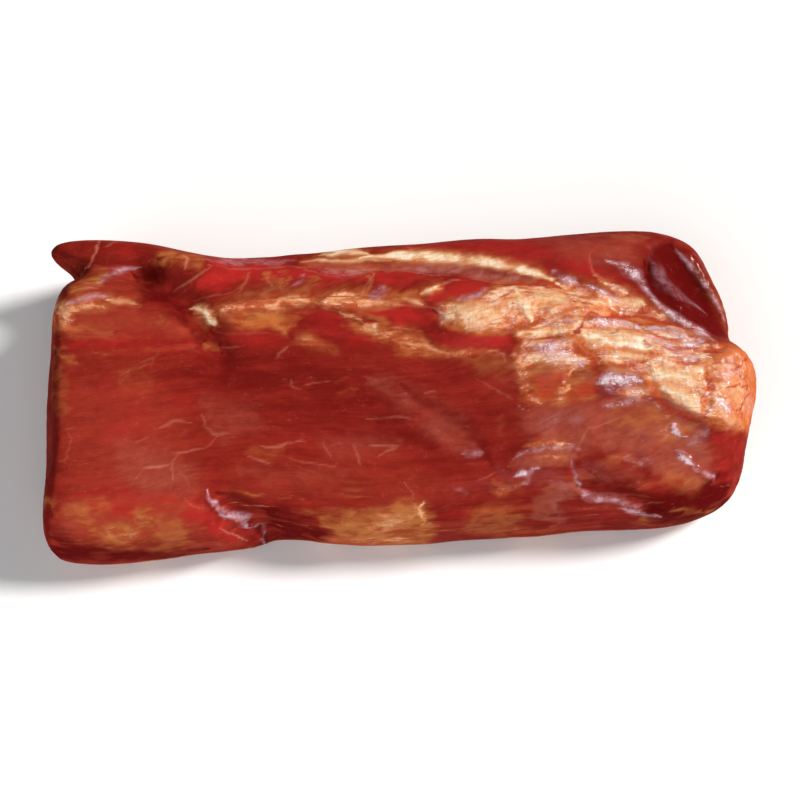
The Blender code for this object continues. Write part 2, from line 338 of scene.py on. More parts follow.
grain = np.column_stack([*along_and_across(MAIN_SLANT), place_mm[:, 2]])
slant_of = np.full(count, MAIN_SLANT)
for degrees, corners in SLANTED_GRAIN.values():
    here = (inside_area(seen, corners) > 0.0) & (facing > 0.5)
    grain[here, :2] = np.column_stack(along_and_across(degrees))[here]
    slant_of[here] = degrees
slanted = slant_of > MAIN_SLANT


def streaks(length, width, seed, octaves=2):
    """Noise drawn out along the grain, to the given length and width in millimetres."""
    return rough_noise(grain / [length, width, width], seed, octaves)


print(int(slanted.sum()), "points have slanting grain")

# %% [markdown]
# ## Seams, folds and ridges
# The solid has the large forms, smoothed over a few millimetres. Real seams are sharper: where two
# muscles meet, the surface drops into a narrow line, and the edge of a sheet of silverskin stands
# up. Each one is a path with a height in millimetres, which is below nought for a crease, moved along
# the surface's own direction. This is done in the mesh and not as a bump, so that it shows at every
# angle and throws real highlights.

# %% Creases: a height, and places with half widths
CREASES = {
    "cleft round the side muscle": (-0.35, [
        (156, 284, 2.4), (172, 298, 3.0), (188, 308, 2.4), (204, 324, 1.4), (212, 334, 1.0)]),
    "top of the eye muscle": (-0.12, [
        (70, 340, 1.8), (120, 347, 1.8), (200, 350, 1.8), (270, 346, 1.8), (290, 349, 1.6), (345, 354, 1.6),
        (395, 354, 1.4), (440, 358, 1.2)]),
    "under the fat seam": (-0.45, [
        (310, 267, 1.2), (380, 267, 1.4), (440, 269, 1.4), (500, 278, 1.4), (545, 284, 1.0)]),
    "over the fat seam": (-0.3, [(385, 248, 1.0), (440, 249, 1.2), (500, 256, 1.2), (540, 267, 1.0)]),
    "red lens, upper edge": (-0.5, [(495, 283, 0.7), (520, 281, 0.9), (545, 285, 0.7)]),
    "red lens, lower edge": (-0.35, [(425, 304, 0.9), (460, 300, 0.9), (485, 290, 0.9), (495, 284, 0.6)]),
    "dark wedge, upper edge": (-0.5, [
        (292, 314, 1.0), (320, 308, 1.1), (345, 317, 1.0), (375, 334, 1.0), (398, 347, 0.9)]),
    "dark wedge, lower edge": (-0.3, [(290, 333, 1.0), (310, 331, 1.0), (325, 340, 1.0), (340, 348, 0.8)]),
    "red bundle, upper edge": (-0.35, [(400, 328, 0.8), (420, 330, 0.8), (430, 345, 0.9), (445, 352, 0.7)]),
    "sheet edge over the bundles": (-0.5, [
        (432, 310, 0.9), (446, 322, 0.9), (470, 331, 0.9), (515, 334, 0.8), (545, 337, 0.8),
        (575, 334, 0.7)]),
    "crack in the sheet": (-0.6, [(572, 334, 0.6), (582, 322, 0.8), (592, 314, 0.6)]),
    "fibre seam towards the knob": (-0.6, [
        (600, 315, 0.8), (625, 317, 0.9), (650, 321, 0.9), (690, 328, 0.7)]),
    "under the orange fibres": (-0.3, [(535, 319, 0.7), (560, 315, 0.8), (600, 313, 0.8)]),
    "red nick": (-0.6, [(640, 340, 0.6), (644, 346, 0.9), (648, 349, 0.6)]),
    "orange groove": (-0.5, [(576, 338, 0.9), (588, 350, 1.1), (602, 366, 0.9)]),
    "between bank and knuckle": (-0.4, [(606, 362, 1.0), (632, 364, 1.4), (650, 372, 1.2)]),
    "round the knuckles": (-0.5, [
        (650, 380, 1.0), (656, 392, 1.2), (668, 404, 1.2), (690, 415, 1.2), (714, 421, 1.0)]),
    "knob's root": (-0.7, [(690, 352, 0.9), (712, 350, 1.1), (733, 345, 1.1), (750, 352, 0.8)]),
    "knob's inner groove": (-0.5, [(704, 370, 0.9), (709, 390, 1.1), (704, 414, 0.9)]),
    "knob's crack": (-0.5, [(733, 372, 0.6), (741, 363, 0.8), (750, 357, 0.6)]),
    "lower crease, upright": (-0.5, [(571, 462, 0.9), (573, 475, 1.1), (577, 488, 1.1)]),
    "lower crease": (-0.7, [
        (577, 488, 1.2), (597, 492, 1.6), (620, 494, 1.8), (645, 503, 1.6), (662, 510, 1.0)]),
    "front fold": (-0.9, [
        (216, 494, 1.6), (232, 503, 2.2), (252, 514, 2.6), (268, 526, 2.4), (278, 538, 2.0)]),
    "second front fold": (-0.3, [(224, 531, 0.7), (235, 535, 0.8), (247, 541, 0.6)]),
    "edge of the front fat": (-0.25, [(424, 502, 0.8), (426, 512, 0.9), (427, 522, 0.9), (430, 532, 0.8)]),
    "step at the muscle arc": (-0.25, [
        (400, 386, 1.6), (430, 406, 1.8), (470, 438, 1.8), (495, 470, 1.6), (508, 488, 1.2)]),
    "arc under the haze": (-0.3, [(512, 462, 0.7), (530, 454, 0.9), (560, 450, 0.9), (578, 454, 0.7)]),
    "second arc": (-0.2, [(528, 446, 0.6), (550, 442, 0.7), (572, 442, 0.6)]),
    "dimple": (-0.25, [(639, 436, 1.0), (641, 442, 1.0)]),
    "hollow's gutter": (-0.6, [
        (647, 266, 1.5), (650, 284, 1.7), (664, 300, 1.7), (690, 316, 1.6), (708, 326, 1.2)]),
    "tongue's seam": (-0.3, [(88, 268, 0.9), (95, 256, 1.0), (99, 242, 0.8)]),
    "side groove": (-0.3, [(590, 252, 0.8), (594, 270, 0.9), (606, 282, 0.9), (618, 292, 0.7)]),
}
print(len(CREASES), "creases")

# %% Ridges: a height, and places with half widths
RIDGES = {
    "fat seam": (0.35, [
        (322, 254, 1.4), (350, 254, 2.0), (400, 257, 2.4), (450, 259, 2.6), (500, 266, 2.6), (530, 274, 2.0),
        (556, 283, 1.2)]),
    "cream nub": (0.8, [(196, 310, 1.6), (204, 313, 2.2), (209, 321, 1.6)]),
    "golden strand": (0.4, [(340, 312, 0.9), (360, 323, 1.4), (385, 337, 1.4), (400, 346, 0.9)]),
    "white bead": (0.5, [(425, 293, 0.9), (430, 291, 1.4), (436, 288, 0.8)]),
    "bright fold in the sheet": (0.5, [(517, 294, 0.9), (523, 303, 1.4), (528, 313, 1.4), (529, 319, 0.9)]),
    "silver patch": (0.7, [(536, 345, 2.4), (552, 352, 3.8), (568, 352, 3.0)]),
    "violet patch": (0.7, [(602, 381, 2.6), (615, 379, 3.4), (632, 380, 2.8)]),
    "silver ledge": (0.6, [(590, 322, 1.4), (612, 323, 1.8), (636, 326, 1.3)]),
    "cream bank": (0.5, [(590, 338, 2.6), (620, 342, 3.8), (645, 346, 3.0)]),
    "bead by the hollow": (0.6, [(668, 327, 0.9), (677, 332, 1.5), (686, 338, 0.9)]),
    "hollow's near lip": (0.7, [
        (644, 287, 1.2), (658, 303, 1.6), (674, 316, 1.7), (692, 328, 1.6), (716, 344, 1.3)]),
    "hollow's inner fold": (0.35, [
        (652, 262, 1.8), (658, 276, 2.6), (672, 290, 2.4), (690, 303, 1.8), (706, 314, 1.2)]),
    "hollow's rim": (0.5, [
        (672, 246, 1.4), (688, 262, 1.6), (704, 282, 1.6), (718, 304, 1.5), (728, 330, 1.2)]),
    "cream knuckle": (0.7, [(662, 377, 2.4), (680, 378, 3.6), (698, 375, 2.6)]),
    "pale knuckle": (0.7, [(668, 392, 2.4), (684, 398, 2.8), (697, 406, 2.2)]),
    "knob's bright fold": (0.7, [(714, 400, 1.6), (723, 412, 2.2), (738, 421, 1.6)]),
    "knob's crescent": (0.5, [(716, 359, 1.4), (730, 353, 1.8), (743, 352, 1.4)]),
    "front fold's lip": (0.8, [
        (207, 491, 0.9), (210, 503, 1.2), (225, 513, 1.5), (242, 523, 1.6), (256, 531, 1.3),
        (266, 542, 1.0)]),
    "lower crease's lip": (0.6, [
        (577, 492, 0.9), (590, 500, 1.2), (612, 501, 1.4), (635, 509, 1.4), (656, 517, 1.1)]),
    "slanting lip, upper": (0.6, [(670, 422, 0.8), (678, 430, 1.2), (687, 438, 0.8)]),
    "slanting lip, middle": (0.6, [(676, 449, 0.8), (685, 457, 1.2), (695, 466, 0.8)]),
    "slanting lip, lower": (0.6, [(695, 466, 0.8), (703, 474, 1.2), (713, 481, 0.8)]),
    "lip at the foot": (0.4, [(686, 508, 0.7), (696, 509, 1.0), (704, 511, 0.7)]),
    "front fat": (0.5, [(335, 522, 4.0), (365, 524, 6.0), (400, 520, 6.0), (418, 518, 4.0)]),
    "ragged fat edge": (0.15, [(419, 501, 0.7), (420, 514, 0.8), (421, 527, 0.7), (427, 542, 0.7)]),
    "forked vein": (0.2, [(203, 416, 0.8), (208, 428, 0.8), (215, 434, 0.9), (229, 432, 0.6)]),
    "pale fleck": (0.2, [(262, 447, 0.5), (278, 446, 0.9), (288, 443, 0.6)]),
    "peach band": (0.35, [(222, 306, 1.4), (270, 300, 2.4), (340, 299, 3.0), (396, 304, 1.6)]),
    "knuckle's fork": (0.5, [(650, 362, 0.7), (655, 372, 1.0), (660, 382, 0.7)]),
}
print(len(RIDGES), "ridges")


# %% Add up the seams
def relief_of(named):
    """The height in millimetres that the named paths add at each point that the photograph sees."""
    total = np.zeros(count)
    for height, path in named.values():
        near, share = near_path(seen, path)
        bell = (1.0 - np.clip(share / 2.0, 0.0, 1.0) ** 2) ** 2
        total[near] += height * bell
    return total * facing


seams = relief_of(CREASES) + relief_of(RIDGES)
print("seams and ridges reach from", round(seams.min(), 2), "to", round(seams.max(), 2), "mm")

# %% [markdown]
# ## What lies on the meat
# Seen close, the fillet is a few kinds of tissue laid over each other, with painted shade and sheen
# among them. We could paint their colours straight on, but a layer for each kind is better, because
# each has its own gloss and softness as well as its colour. A layer is a number from 0 to 1 at every
# point. The next cells list what the photograph shows of each: areas with a strength and the softness
# of their edge in pixels, and paths with a strength and half widths. First comes the lean. It is tan
# where it has dried, hazy under a thin film, with a painted highlight on the raised side of the muscle
# arc, bright red where it is thin or freshly cut, and nearly black-red in the hollow, the folds, the
# cleft, the left edge and the foot, which is painted shade over a darker lean.

# %% Dried lean, the haze of the film and a painted sheen by the arc
AREAS = {}
PATHS = {}
AREAS["tan"] = {
    "left end of the eye": (0.5, 26, [
        (66, 372), (120, 374), (156, 384), (180, 412), (196, 440), (190, 486), (150, 500), (64, 500),
        (56, 430)]),
    "left of the eye, upper": (0.35, 16, [(60, 350), (150, 352), (160, 370), (60, 376)]),
    "shelf by the left band": (0.75, 9, [
        (58, 312), (130, 308), (172, 314), (200, 328), (210, 340), (150, 336), (58, 336)]),
    "left foot": (0.8, 12, [(52, 500), (120, 492), (200, 492), (200, 535), (120, 545), (62, 540)]),
    "lower edge of the eye": (0.35, 14, [(230, 470), (420, 466), (470, 490), (440, 505), (230, 500)]),
    "behind the left band": (0.5, 7, [(66, 285), (96, 268), (135, 268), (160, 292), (135, 300), (72, 303)]),
    "back edge, right": (0.5, 12, [(560, 236), (635, 234), (640, 258), (600, 262), (560, 250)]),
    "right of the arc": (0.2, 12, [(480, 372), (525, 372), (530, 430), (500, 455), (490, 410)]),
}
AREAS["haze"] = {
    "film under the fat seam": (0.8, 3, [
        (300, 264), (340, 262), (400, 263), (450, 265), (500, 272), (550, 283), (548, 289), (500, 282),
        (450, 275), (400, 272), (340, 273)]),
    "pink film, left": (0.5, 14, [
        (108, 442), (140, 440), (175, 460), (196, 462), (200, 490), (150, 498), (122, 480)]),
    "grey film by the vein": (0.35, 10, [(196, 398), (255, 402), (262, 430), (225, 446), (205, 430)]),
    "film under the bracket": (0.68, 10, [
        (520, 412), (560, 398), (620, 396), (652, 402), (690, 424), (716, 446), (708, 488), (684, 494),
        (652, 470), (610, 452), (580, 452), (545, 444), (522, 432)]),
    "lines at the arc": (0.75, 5, [(508, 464), (528, 449), (575, 444), (580, 454), (560, 466), (532, 470)]),
    "film by the crease": (0.75, 7, [(545, 482), (566, 478), (568, 500), (566, 522), (545, 528), (528, 512)]),
    "film on the slope": (0.5, 10, [(590, 462), (640, 468), (650, 482), (600, 484)]),
    "back strip's film": (0.4, 12, [(540, 242), (600, 238), (636, 242), (638, 262), (600, 268), (560, 258)]),
    "film by the stems": (0.3, 10, [(318, 438), (366, 428), (404, 440), (396, 458), (350, 462), (322, 458)]),
    "left corner": (0.3, 8, [(52, 505), (74, 500), (82, 530), (60, 540)]),
}
PATHS["haze"] = {
    # painted highlight: a lighter band on the raised side of the muscle arc
    "painted sheen beside the arc": (0.55, [
        (366, 380, 3.0), (396, 394, 5.0), (428, 414, 6.0), (452, 434, 6.0), (472, 452, 3.6)]),
    "lower film": (0.3, [(240, 470, 3.0), (300, 474, 4.0), (360, 470, 3.0)]),
}
print(len(AREAS["tan"]), "dried areas and", len(AREAS["haze"]) + len(PATHS["haze"]), "hazy ones")

# %% Bright red lean
PATHS["vivid"] = {
    "chain": (0.95, [
        (200, 284, 4.0), (222, 274, 5.0), (250, 272, 4.0), (320, 274, 3.0), (400, 276, 2.6),
        (440, 278, 2.0)]),
    "tongue's back": (0.5, [(112, 250, 3.0), (132, 254, 3.4), (150, 260, 2.4)]),
    "red lens": (0.95, [(424, 301, 1.4), (446, 294, 3.0), (470, 286, 3.4), (494, 281, 1.6)]),
    "upper bundle": (0.95, [(345, 308, 1.2), (380, 315, 2.8), (410, 316, 3.6), (438, 317, 2.6)]),
    "upper bundle's tail": (0.8, [(436, 322, 1.6), (470, 331, 1.2), (510, 333, 1.0)]),
    "lower bundle": (0.9, [(424, 336, 1.6), (450, 341, 3.2), (480, 341, 3.6), (512, 342, 2.6)]),
    "dark wedge": (0.65, [(292, 318, 2.0), (318, 318, 4.0), (344, 332, 4.0), (376, 344, 2.4)]),
    "back strip": (0.65, [
        (400, 247, 1.6), (470, 248, 2.6), (530, 252, 4.6), (576, 262, 5.0), (610, 272, 3.0)]),
    "under the back strip": (0.5, [(570, 268, 3.0), (600, 276, 2.4), (630, 288, 2.0)]),
    "red stripe over the eye": (0.55, [(60, 344, 2.4), (100, 343, 3.6), (150, 342, 3.6), (206, 343, 2.0)]),
    "red under the shelf": (0.6, [(218, 334, 1.8), (250, 338, 3.6), (284, 340, 2.4)]),
    "left red": (0.7, [(100, 505, 2.4), (116, 511, 4.0), (128, 514, 2.4)]),
    "red over the foot": (0.5, [(80, 494, 3.0), (110, 494, 3.6), (150, 500, 3.4), (176, 500, 3.0)]),
    "fold's red": (0.7, [
        (186, 502, 3.0), (202, 514, 4.2), (216, 526, 4.2), (238, 536, 3.8), (258, 542, 2.0)]),
    "far slope": (0.5, [(716, 434, 2.0), (722, 456, 5.0), (722, 476, 4.6), (712, 490, 2.6)]),
    "under the knob": (0.35, [(728, 434, 2.4), (738, 446, 2.6), (736, 462, 2.4)]),
    "left end of the eye": (0.35, [(100, 380, 8.0), (130, 410, 9.0), (110, 440, 7.0)]),
    "beyond the bracket": (0.5, [(590, 402, 2.0), (598, 424, 3.0), (594, 444, 3.0)]),
    "foot": (0.4, [(570, 505, 3.0), (590, 512, 3.0), (610, 514, 2.4)]),
    "under the cleft's foot": (0.45, [(222, 354, 3.0), (228, 368, 4.0), (233, 382, 3.0)]),
    "crimson spots": (0.5, [(170, 398, 3.0), (186, 404, 3.6), (192, 412, 2.0)]),
}
print(len(PATHS["vivid"]), "bright red streaks")

# %% Dark red lean and painted shade
# dark red lean and painted shade: the hollow, its gutter, the cleft, under the tongue, the folds, the left
# edge and the foot are painted shade over a darker lean
AREAS["dark_lean_and_shade"] = {
    "hollow": (1.0, 8, [
        (652, 248), (672, 240), (686, 258), (702, 280), (714, 298), (724, 322), (728, 338), (712, 336),
        (698, 322), (684, 312), (666, 300), (654, 284), (648, 264)]),
    "hollow's rim": (0.45, 5, [
        (676, 240), (700, 260), (722, 296), (733, 338), (724, 340), (700, 296), (680, 262)]),
    "far foot": (0.85, 8, [(640, 500), (700, 488), (722, 470), (730, 500), (700, 522), (640, 528)]),
}
PATHS["dark_lean_and_shade"] = {
    "hollow's gutter": (0.9, [
        (645, 260, 1.4), (648, 280, 2.2), (662, 299, 2.2), (684, 314, 2.6), (704, 326, 2.8),
        (720, 338, 1.6)]),
    "tongue": (0.6, [(50, 252, 2.4), (64, 258, 4.0), (76, 266, 3.6), (86, 262, 2.6)]),
    "under the tongue": (0.8, [(66, 272, 1.8), (76, 276, 2.4), (84, 272, 1.4)]),
    "cleft": (0.8, [
        (134, 272, 2.0), (146, 285, 4.6), (160, 298, 5.6), (176, 308, 4.6), (192, 318, 2.6), (204, 330, 2.2),
        (215, 341, 2.0), (222, 354, 1.4)]),
    "shelf's dark lip": (0.7, [(170, 312, 1.6), (188, 324, 2.6), (202, 336, 3.0), (212, 348, 2.0)]),
    "left of the cleft": (0.25, [(124, 284, 2.4), (138, 294, 3.6), (150, 306, 3.0)]),
    "beyond the front fold": (0.95, [(262, 510, 3.0), (282, 522, 5.4), (302, 530, 5.0), (320, 540, 3.0)]),
    "over the front fold": (0.5, [(222, 490, 2.0), (244, 500, 3.4), (270, 506, 3.0)]),
    "left foot": (0.9, [(52, 536, 3.0), (66, 552, 3.8), (100, 556, 3.4), (150, 554, 2.4), (200, 550, 1.4)]),
    "left edge": (0.6, [(50, 345, 2.0), (47, 400, 2.6), (45, 460, 2.8), (46, 520, 3.0)]),
    "eye's shade": (0.5, [
        (190, 372, 8.0), (240, 376, 11.0), (310, 386, 12.0), (370, 404, 12.0), (430, 446, 9.0)]),
    "beyond the arc": (0.5, [
        (396, 380, 2.0), (418, 398, 3.0), (444, 414, 4.0), (470, 434, 5.0), (492, 462, 4.6)]),
    "beyond the arc, right": (0.35, [(470, 396, 5.0), (515, 424, 6.0), (512, 470, 5.0)]),
    "over the lower crease": (0.6, [
        (582, 480, 2.0), (604, 485, 3.4), (632, 489, 4.0), (662, 497, 3.2), (694, 497, 2.4)]),
    "between the slopes": (0.5, [(690, 418, 2.0), (704, 424, 2.6), (716, 432, 2.4)]),
    "dark patch by the dent": (0.4, [(630, 450, 2.6), (648, 462, 3.2), (646, 478, 3.2)]),
    "dark patch left of it": (0.4, [(578, 462, 3.0), (596, 470, 3.6), (612, 476, 3.0)]),
    "foot, right": (0.5, [(600, 526, 2.0), (640, 525, 2.0), (680, 519, 1.4)]),
    "foot, middle": (0.4, [(440, 536, 2.4), (500, 540, 1.6), (590, 530, 2.0)]),
    "dark wedge": (0.3, [(290, 318, 2.4), (312, 324, 4.4), (340, 336, 4.6), (380, 348, 2.6)]),
    "back of the tongue": (0.15, [(58, 246, 3.0), (90, 246, 3.6), (104, 256, 3.0)]),
}
print(len(AREAS["dark_lean_and_shade"]) + len(PATHS["dark_lean_and_shade"]), "deep red places")

# %% [markdown]
# ### Smoked fat
# The smoke turns a thin layer of fat orange and brown. It lies in broad patches on the front flank
# and the left foot, and in slanting streaks between the bundles of the side muscle.

# %% Smoked fat
AREAS["smoke"] = {
    "front fat": (0.95, 8, [
        (328, 519), (342, 512), (366, 510), (384, 505), (402, 502), (421, 501), (421, 530), (428, 544),
        (396, 548), (338, 548), (330, 532)]),
    "second front fat": (0.5, 9, [
        (474, 512), (492, 505), (512, 504), (522, 508), (516, 534), (486, 538), (470, 528)]),
    "left yellow fat": (0.85, 9, [
        (92, 522), (104, 526), (128, 524), (134, 508), (146, 512), (152, 528), (138, 545), (110, 548),
        (92, 536)]),
    "left brown fat": (0.6, 10, [(150, 520), (186, 512), (192, 530), (192, 546), (168, 550), (146, 540)]),
    "upper left fat": (0.6, 9, [(72, 502), (94, 498), (102, 512), (96, 526), (80, 526)]),
    "front shelf": (0.85, 6, [
        (214, 312), (240, 310), (290, 306), (296, 318), (288, 334), (262, 330), (232, 326), (214, 322)]),
    "behind the left band": (0.8, 6, [
        (72, 290), (84, 276), (100, 268), (110, 272), (100, 286), (92, 294), (74, 298)]),
    "tongue's root": (0.75, 6, [(158, 252), (176, 250), (206, 257), (200, 268), (180, 268), (162, 262)]),
    "low side of the chain": (0.45, 8, [
        (222, 302), (240, 290), (268, 284), (300, 290), (330, 284), (352, 284), (372, 290), (350, 300),
        (300, 303), (240, 306)]),
    "orange bank": (0.7, 5, [(384, 288), (400, 290), (424, 292), (420, 302), (396, 304), (382, 302)]),
    "under the gold strand": (0.6, 5, [(338, 308), (372, 310), (400, 326), (392, 334), (366, 322)]),
    "fan by the eye": (0.85, 5, [
        (380, 328), (402, 330), (424, 336), (438, 350), (452, 356), (424, 358), (396, 352)]),
    "under the red bundle": (0.42, 10, [
        (462, 356), (500, 354), (524, 362), (520, 378), (500, 378), (476, 372)]),
    "bracket": (0.75, 5, [
        (526, 364), (590, 362), (602, 376), (596, 398), (566, 405), (536, 406), (524, 390)]),
    "orange between bank and knuckle": (0.95, 4, [
        (598, 358), (620, 360), (648, 364), (654, 374), (640, 373), (612, 371), (600, 372)]),
    "slope by the crest": (0.6, 8, [(652, 408), (672, 414), (700, 424), (690, 440), (668, 448), (654, 430)]),
    "lower slope": (0.55, 8, [(612, 400), (660, 402), (668, 424), (640, 430), (612, 424)]),
    "far slope's haze": (0.45, 8, [(660, 466), (690, 470), (704, 486), (690, 496), (664, 486)]),
    "left edge stain": (0.35, 6, [(54, 350), (64, 350), (72, 410), (62, 424), (54, 400)]),
}
PATHS["smoke"] = {
    "slanting fat, first": (0.5, [(249, 270, 0.8), (245, 282, 1.1), (238, 294, 0.8)]),
    "slanting fat, second": (0.65, [(262, 272, 1.0), (272, 281, 1.9), (282, 292, 1.5)]),
    "slanting fat, third": (0.6, [(280, 270, 1.0), (288, 278, 1.7), (284, 290, 1.3)]),
    "slanting fat, fourth": (0.6, [(318, 278, 1.4), (310, 288, 2.1), (300, 296, 1.9)]),
    "slanting fat, fifth": (0.7, [(374, 274, 0.7), (367, 286, 1.0), (360, 298, 1.1)]),
    "orange line over the wedge": (0.7, [(256, 308, 1.0), (285, 308, 1.3), (306, 313, 0.8)]),
    "thin orange line, left": (0.7, [(222, 492, 0.6), (240, 493, 0.8), (258, 495, 0.8), (278, 495, 0.5)]),
    "thin orange line, right": (0.7, [(331, 499, 0.5), (350, 498, 0.8), (370, 497, 0.5)]),
    "smudge on the eye": (0.3, [(118, 378, 2.0), (134, 384, 4.4), (154, 384, 2.6)]),
    "slanting thread": (0.35, [(118, 379, 0.8), (132, 370, 0.8), (144, 364, 0.6), (160, 352, 0.8)]),
    "brown smudge": (0.3, [(248, 454, 1.6), (268, 455, 2.6), (288, 452, 1.6)]),
    "spot on the eye": (0.18, [(336, 391, 0.8), (346, 391, 1.0), (362, 391, 0.6)]),
    "spot on the eye, upper": (0.15, [(334, 381, 0.8), (346, 378, 1.0), (350, 377, 0.6)]),
    "gold dash": (0.5, [(202, 347, 0.9), (212, 348, 1.1), (219, 349, 0.7)]),
    "left gold dash": (0.75, [(54, 346, 1.0), (60, 353, 1.4), (68, 359, 1.8), (76, 363, 1.0)]),
    "left speck": (0.8, [(42, 503, 1.6), (50, 503, 1.8), (58, 505, 1.1)]),
    "arc gold": (0.22, [(504, 416, 1.4), (500, 428, 1.8), (498, 440, 1.2)]),
    "gold fan": (0.35, [(603, 462, 1.4), (620, 461, 2.0), (634, 459, 1.2)]),
    "foot gold": (0.7, [(678, 512, 1.2), (696, 512, 2.0), (706, 513, 1.2)]),
    "foot gold, left": (0.6, [(634, 516, 1.0), (650, 521, 1.2), (666, 520, 0.8)]),
    "front fat's ragged left": (0.55, [(308, 511, 0.8), (322, 512, 1.3), (336, 514, 1.6)]),
    "foot line": (0.5, [(170, 549, 0.6), (186, 545, 0.8), (206, 543, 0.8), (234, 541, 0.6)]),
    "shelf's streak": (0.5, [(64, 326, 1.2), (90, 329, 1.8), (120, 334, 1.0)]),
    "shelf's spot": (0.35, [(158, 316, 0.7), (164, 321, 1.0), (168, 326, 0.6)]),
    "streak over the eye": (0.3, [(60, 338, 0.8), (104, 336, 1.2), (140, 338, 0.8)]),
    "eye's upper line": (0.25, [(92, 353, 0.8), (120, 350, 1.0), (160, 348, 0.8), (196, 346, 0.7)]),
    "gold in the haze": (0.45, [(540, 448, 1.0), (556, 446, 1.4), (570, 444, 1.0)]),
}
print(len(AREAS["smoke"]) + len(PATHS["smoke"]), "places with smoked fat")

# %% [markdown]
# ### Silverskin
# Silverskin is the tough sheet over a muscle. On the right half it is left on in two wide sheets,
# wrinkled and golden, and elsewhere it shows as narrow bands and strands.

# %% Silverskin
AREAS["silverskin"] = {
    "upper sheet": (1.0, 7, [
        (440, 308), (456, 302), (478, 297), (492, 290), (505, 285), (528, 284), (546, 281), (568, 286),
        (592, 291), (612, 297), (634, 297), (650, 302), (664, 313), (668, 321), (650, 321), (620, 317),
        (590, 315), (560, 316), (536, 320), (518, 328), (495, 331), (468, 329), (450, 324), (442, 316)]),
    "lower sheet": (1.0, 7, [
        (518, 330), (528, 323), (548, 318), (574, 317), (594, 317), (620, 319), (650, 326), (668, 327),
        (690, 335), (714, 344), (735, 348), (750, 358), (757, 378), (756, 400), (749, 428), (732, 430),
        (716, 420), (700, 415), (684, 409), (668, 398), (656, 384), (640, 372), (612, 366), (600, 362),
        (588, 348), (576, 338), (548, 337), (518, 336)]),
    "round the silver patch": (0.85, 7, [
        (524, 338), (545, 336), (570, 338), (584, 350), (592, 366), (574, 369), (550, 366), (532, 366),
        (520, 380), (516, 360)]),
    "left band": (0.7, 6, [
        (52, 303), (72, 301), (92, 296), (110, 297), (116, 304), (104, 310), (80, 309), (72, 316), (66, 332),
        (54, 330)]),
    "peach band": (0.75, 6, [
        (216, 308), (240, 302), (262, 298), (300, 296), (316, 301), (314, 307), (290, 308), (250, 309),
        (222, 312)]),
    "peach heart": (0.8, 5, [
        (320, 304), (330, 297), (345, 292), (362, 296), (380, 300), (400, 304), (384, 307), (352, 307),
        (330, 308)]),
    "wedge under the shelf": (0.5, 7, [(296, 338), (308, 335), (322, 342), (334, 349), (312, 348)]),
}
PATHS["silverskin"] = {
    "golden strand": (0.9, [
        (334, 309, 0.7), (352, 320, 1.2), (368, 328, 1.5), (386, 337, 1.4), (400, 345, 0.7)]),
    "gold under the bundle": (0.7, [(382, 328, 0.9), (396, 334, 2.0), (410, 342, 2.8), (428, 346, 1.8)]),
    "gold along the eye": (0.6, [(422, 347, 1.2), (445, 353, 1.5), (470, 353, 1.8), (498, 352, 1.2)]),
    "long fibres": (1.0, [(544, 283, 1.2), (572, 288, 2.2), (600, 296, 2.0), (624, 306, 1.2)]),
    "strand over the hollow": (0.85, [(596, 276, 0.7), (615, 290, 1.4), (640, 306, 1.6), (664, 318, 1.3)]),
    "tan tongue": (0.8, [(622, 393, 1.6), (638, 391, 2.8), (654, 388, 1.8)]),
    "bracket, right": (0.95, [(578, 364, 1.1), (567, 378, 1.5), (561, 392, 1.6), (553, 403, 1.8)]),
    "bracket, left": (0.85, [(532, 366, 1.2), (526, 382, 1.1), (528, 396, 1.3), (542, 404, 1.8)]),
    "lines at the arc": (0.6, [(526, 447, 0.7), (550, 443, 0.8), (572, 443, 0.6)]),
    "lower line": (0.5, [(533, 458, 0.7), (552, 457, 0.9), (568, 455, 0.7)]),
    "rim's speckle": (0.3, [(686, 256, 0.8), (704, 280, 1.0), (718, 304, 1.0), (729, 336, 0.8)]),
    "front fat's pale side": (0.55, [(368, 514, 2.0), (382, 521, 4.4), (398, 522, 4.0), (412, 512, 2.6)]),
    "front fat's foot": (0.55, [(336, 540, 2.4), (370, 542, 3.0), (412, 541, 2.4)]),
    "fan of veins": (0.55, [(495, 483, 1.1), (505, 491, 1.7), (518, 487, 1.1), (530, 481, 1.1)]),
    "nub's halo": (0.5, [(214, 312, 1.2), (222, 318, 1.6), (240, 322, 1.4)]),
    "under the seam, left": (0.4, [(326, 268, 1.0), (350, 270, 1.8), (380, 268, 1.0)]),
    "yellow fat's heart": (0.5, [(100, 531, 1.8), (116, 534, 2.6), (132, 530, 2.0), (134, 518, 1.4)]),
    "sheet by the slope": (0.5, [(664, 416, 1.0), (668, 428, 1.4), (662, 440, 1.0)]),
}
print(len(AREAS["silverskin"]) + len(PATHS["silverskin"]), "sheets and strands of silverskin")

# %% [markdown]
# ### Cream fat
# Thicker fat stays cream: the seam along the back, the nub by the cleft, and the banks and knuckles
# near the knob. It is the palest thing on the piece, so it decides how bright the picture looks.

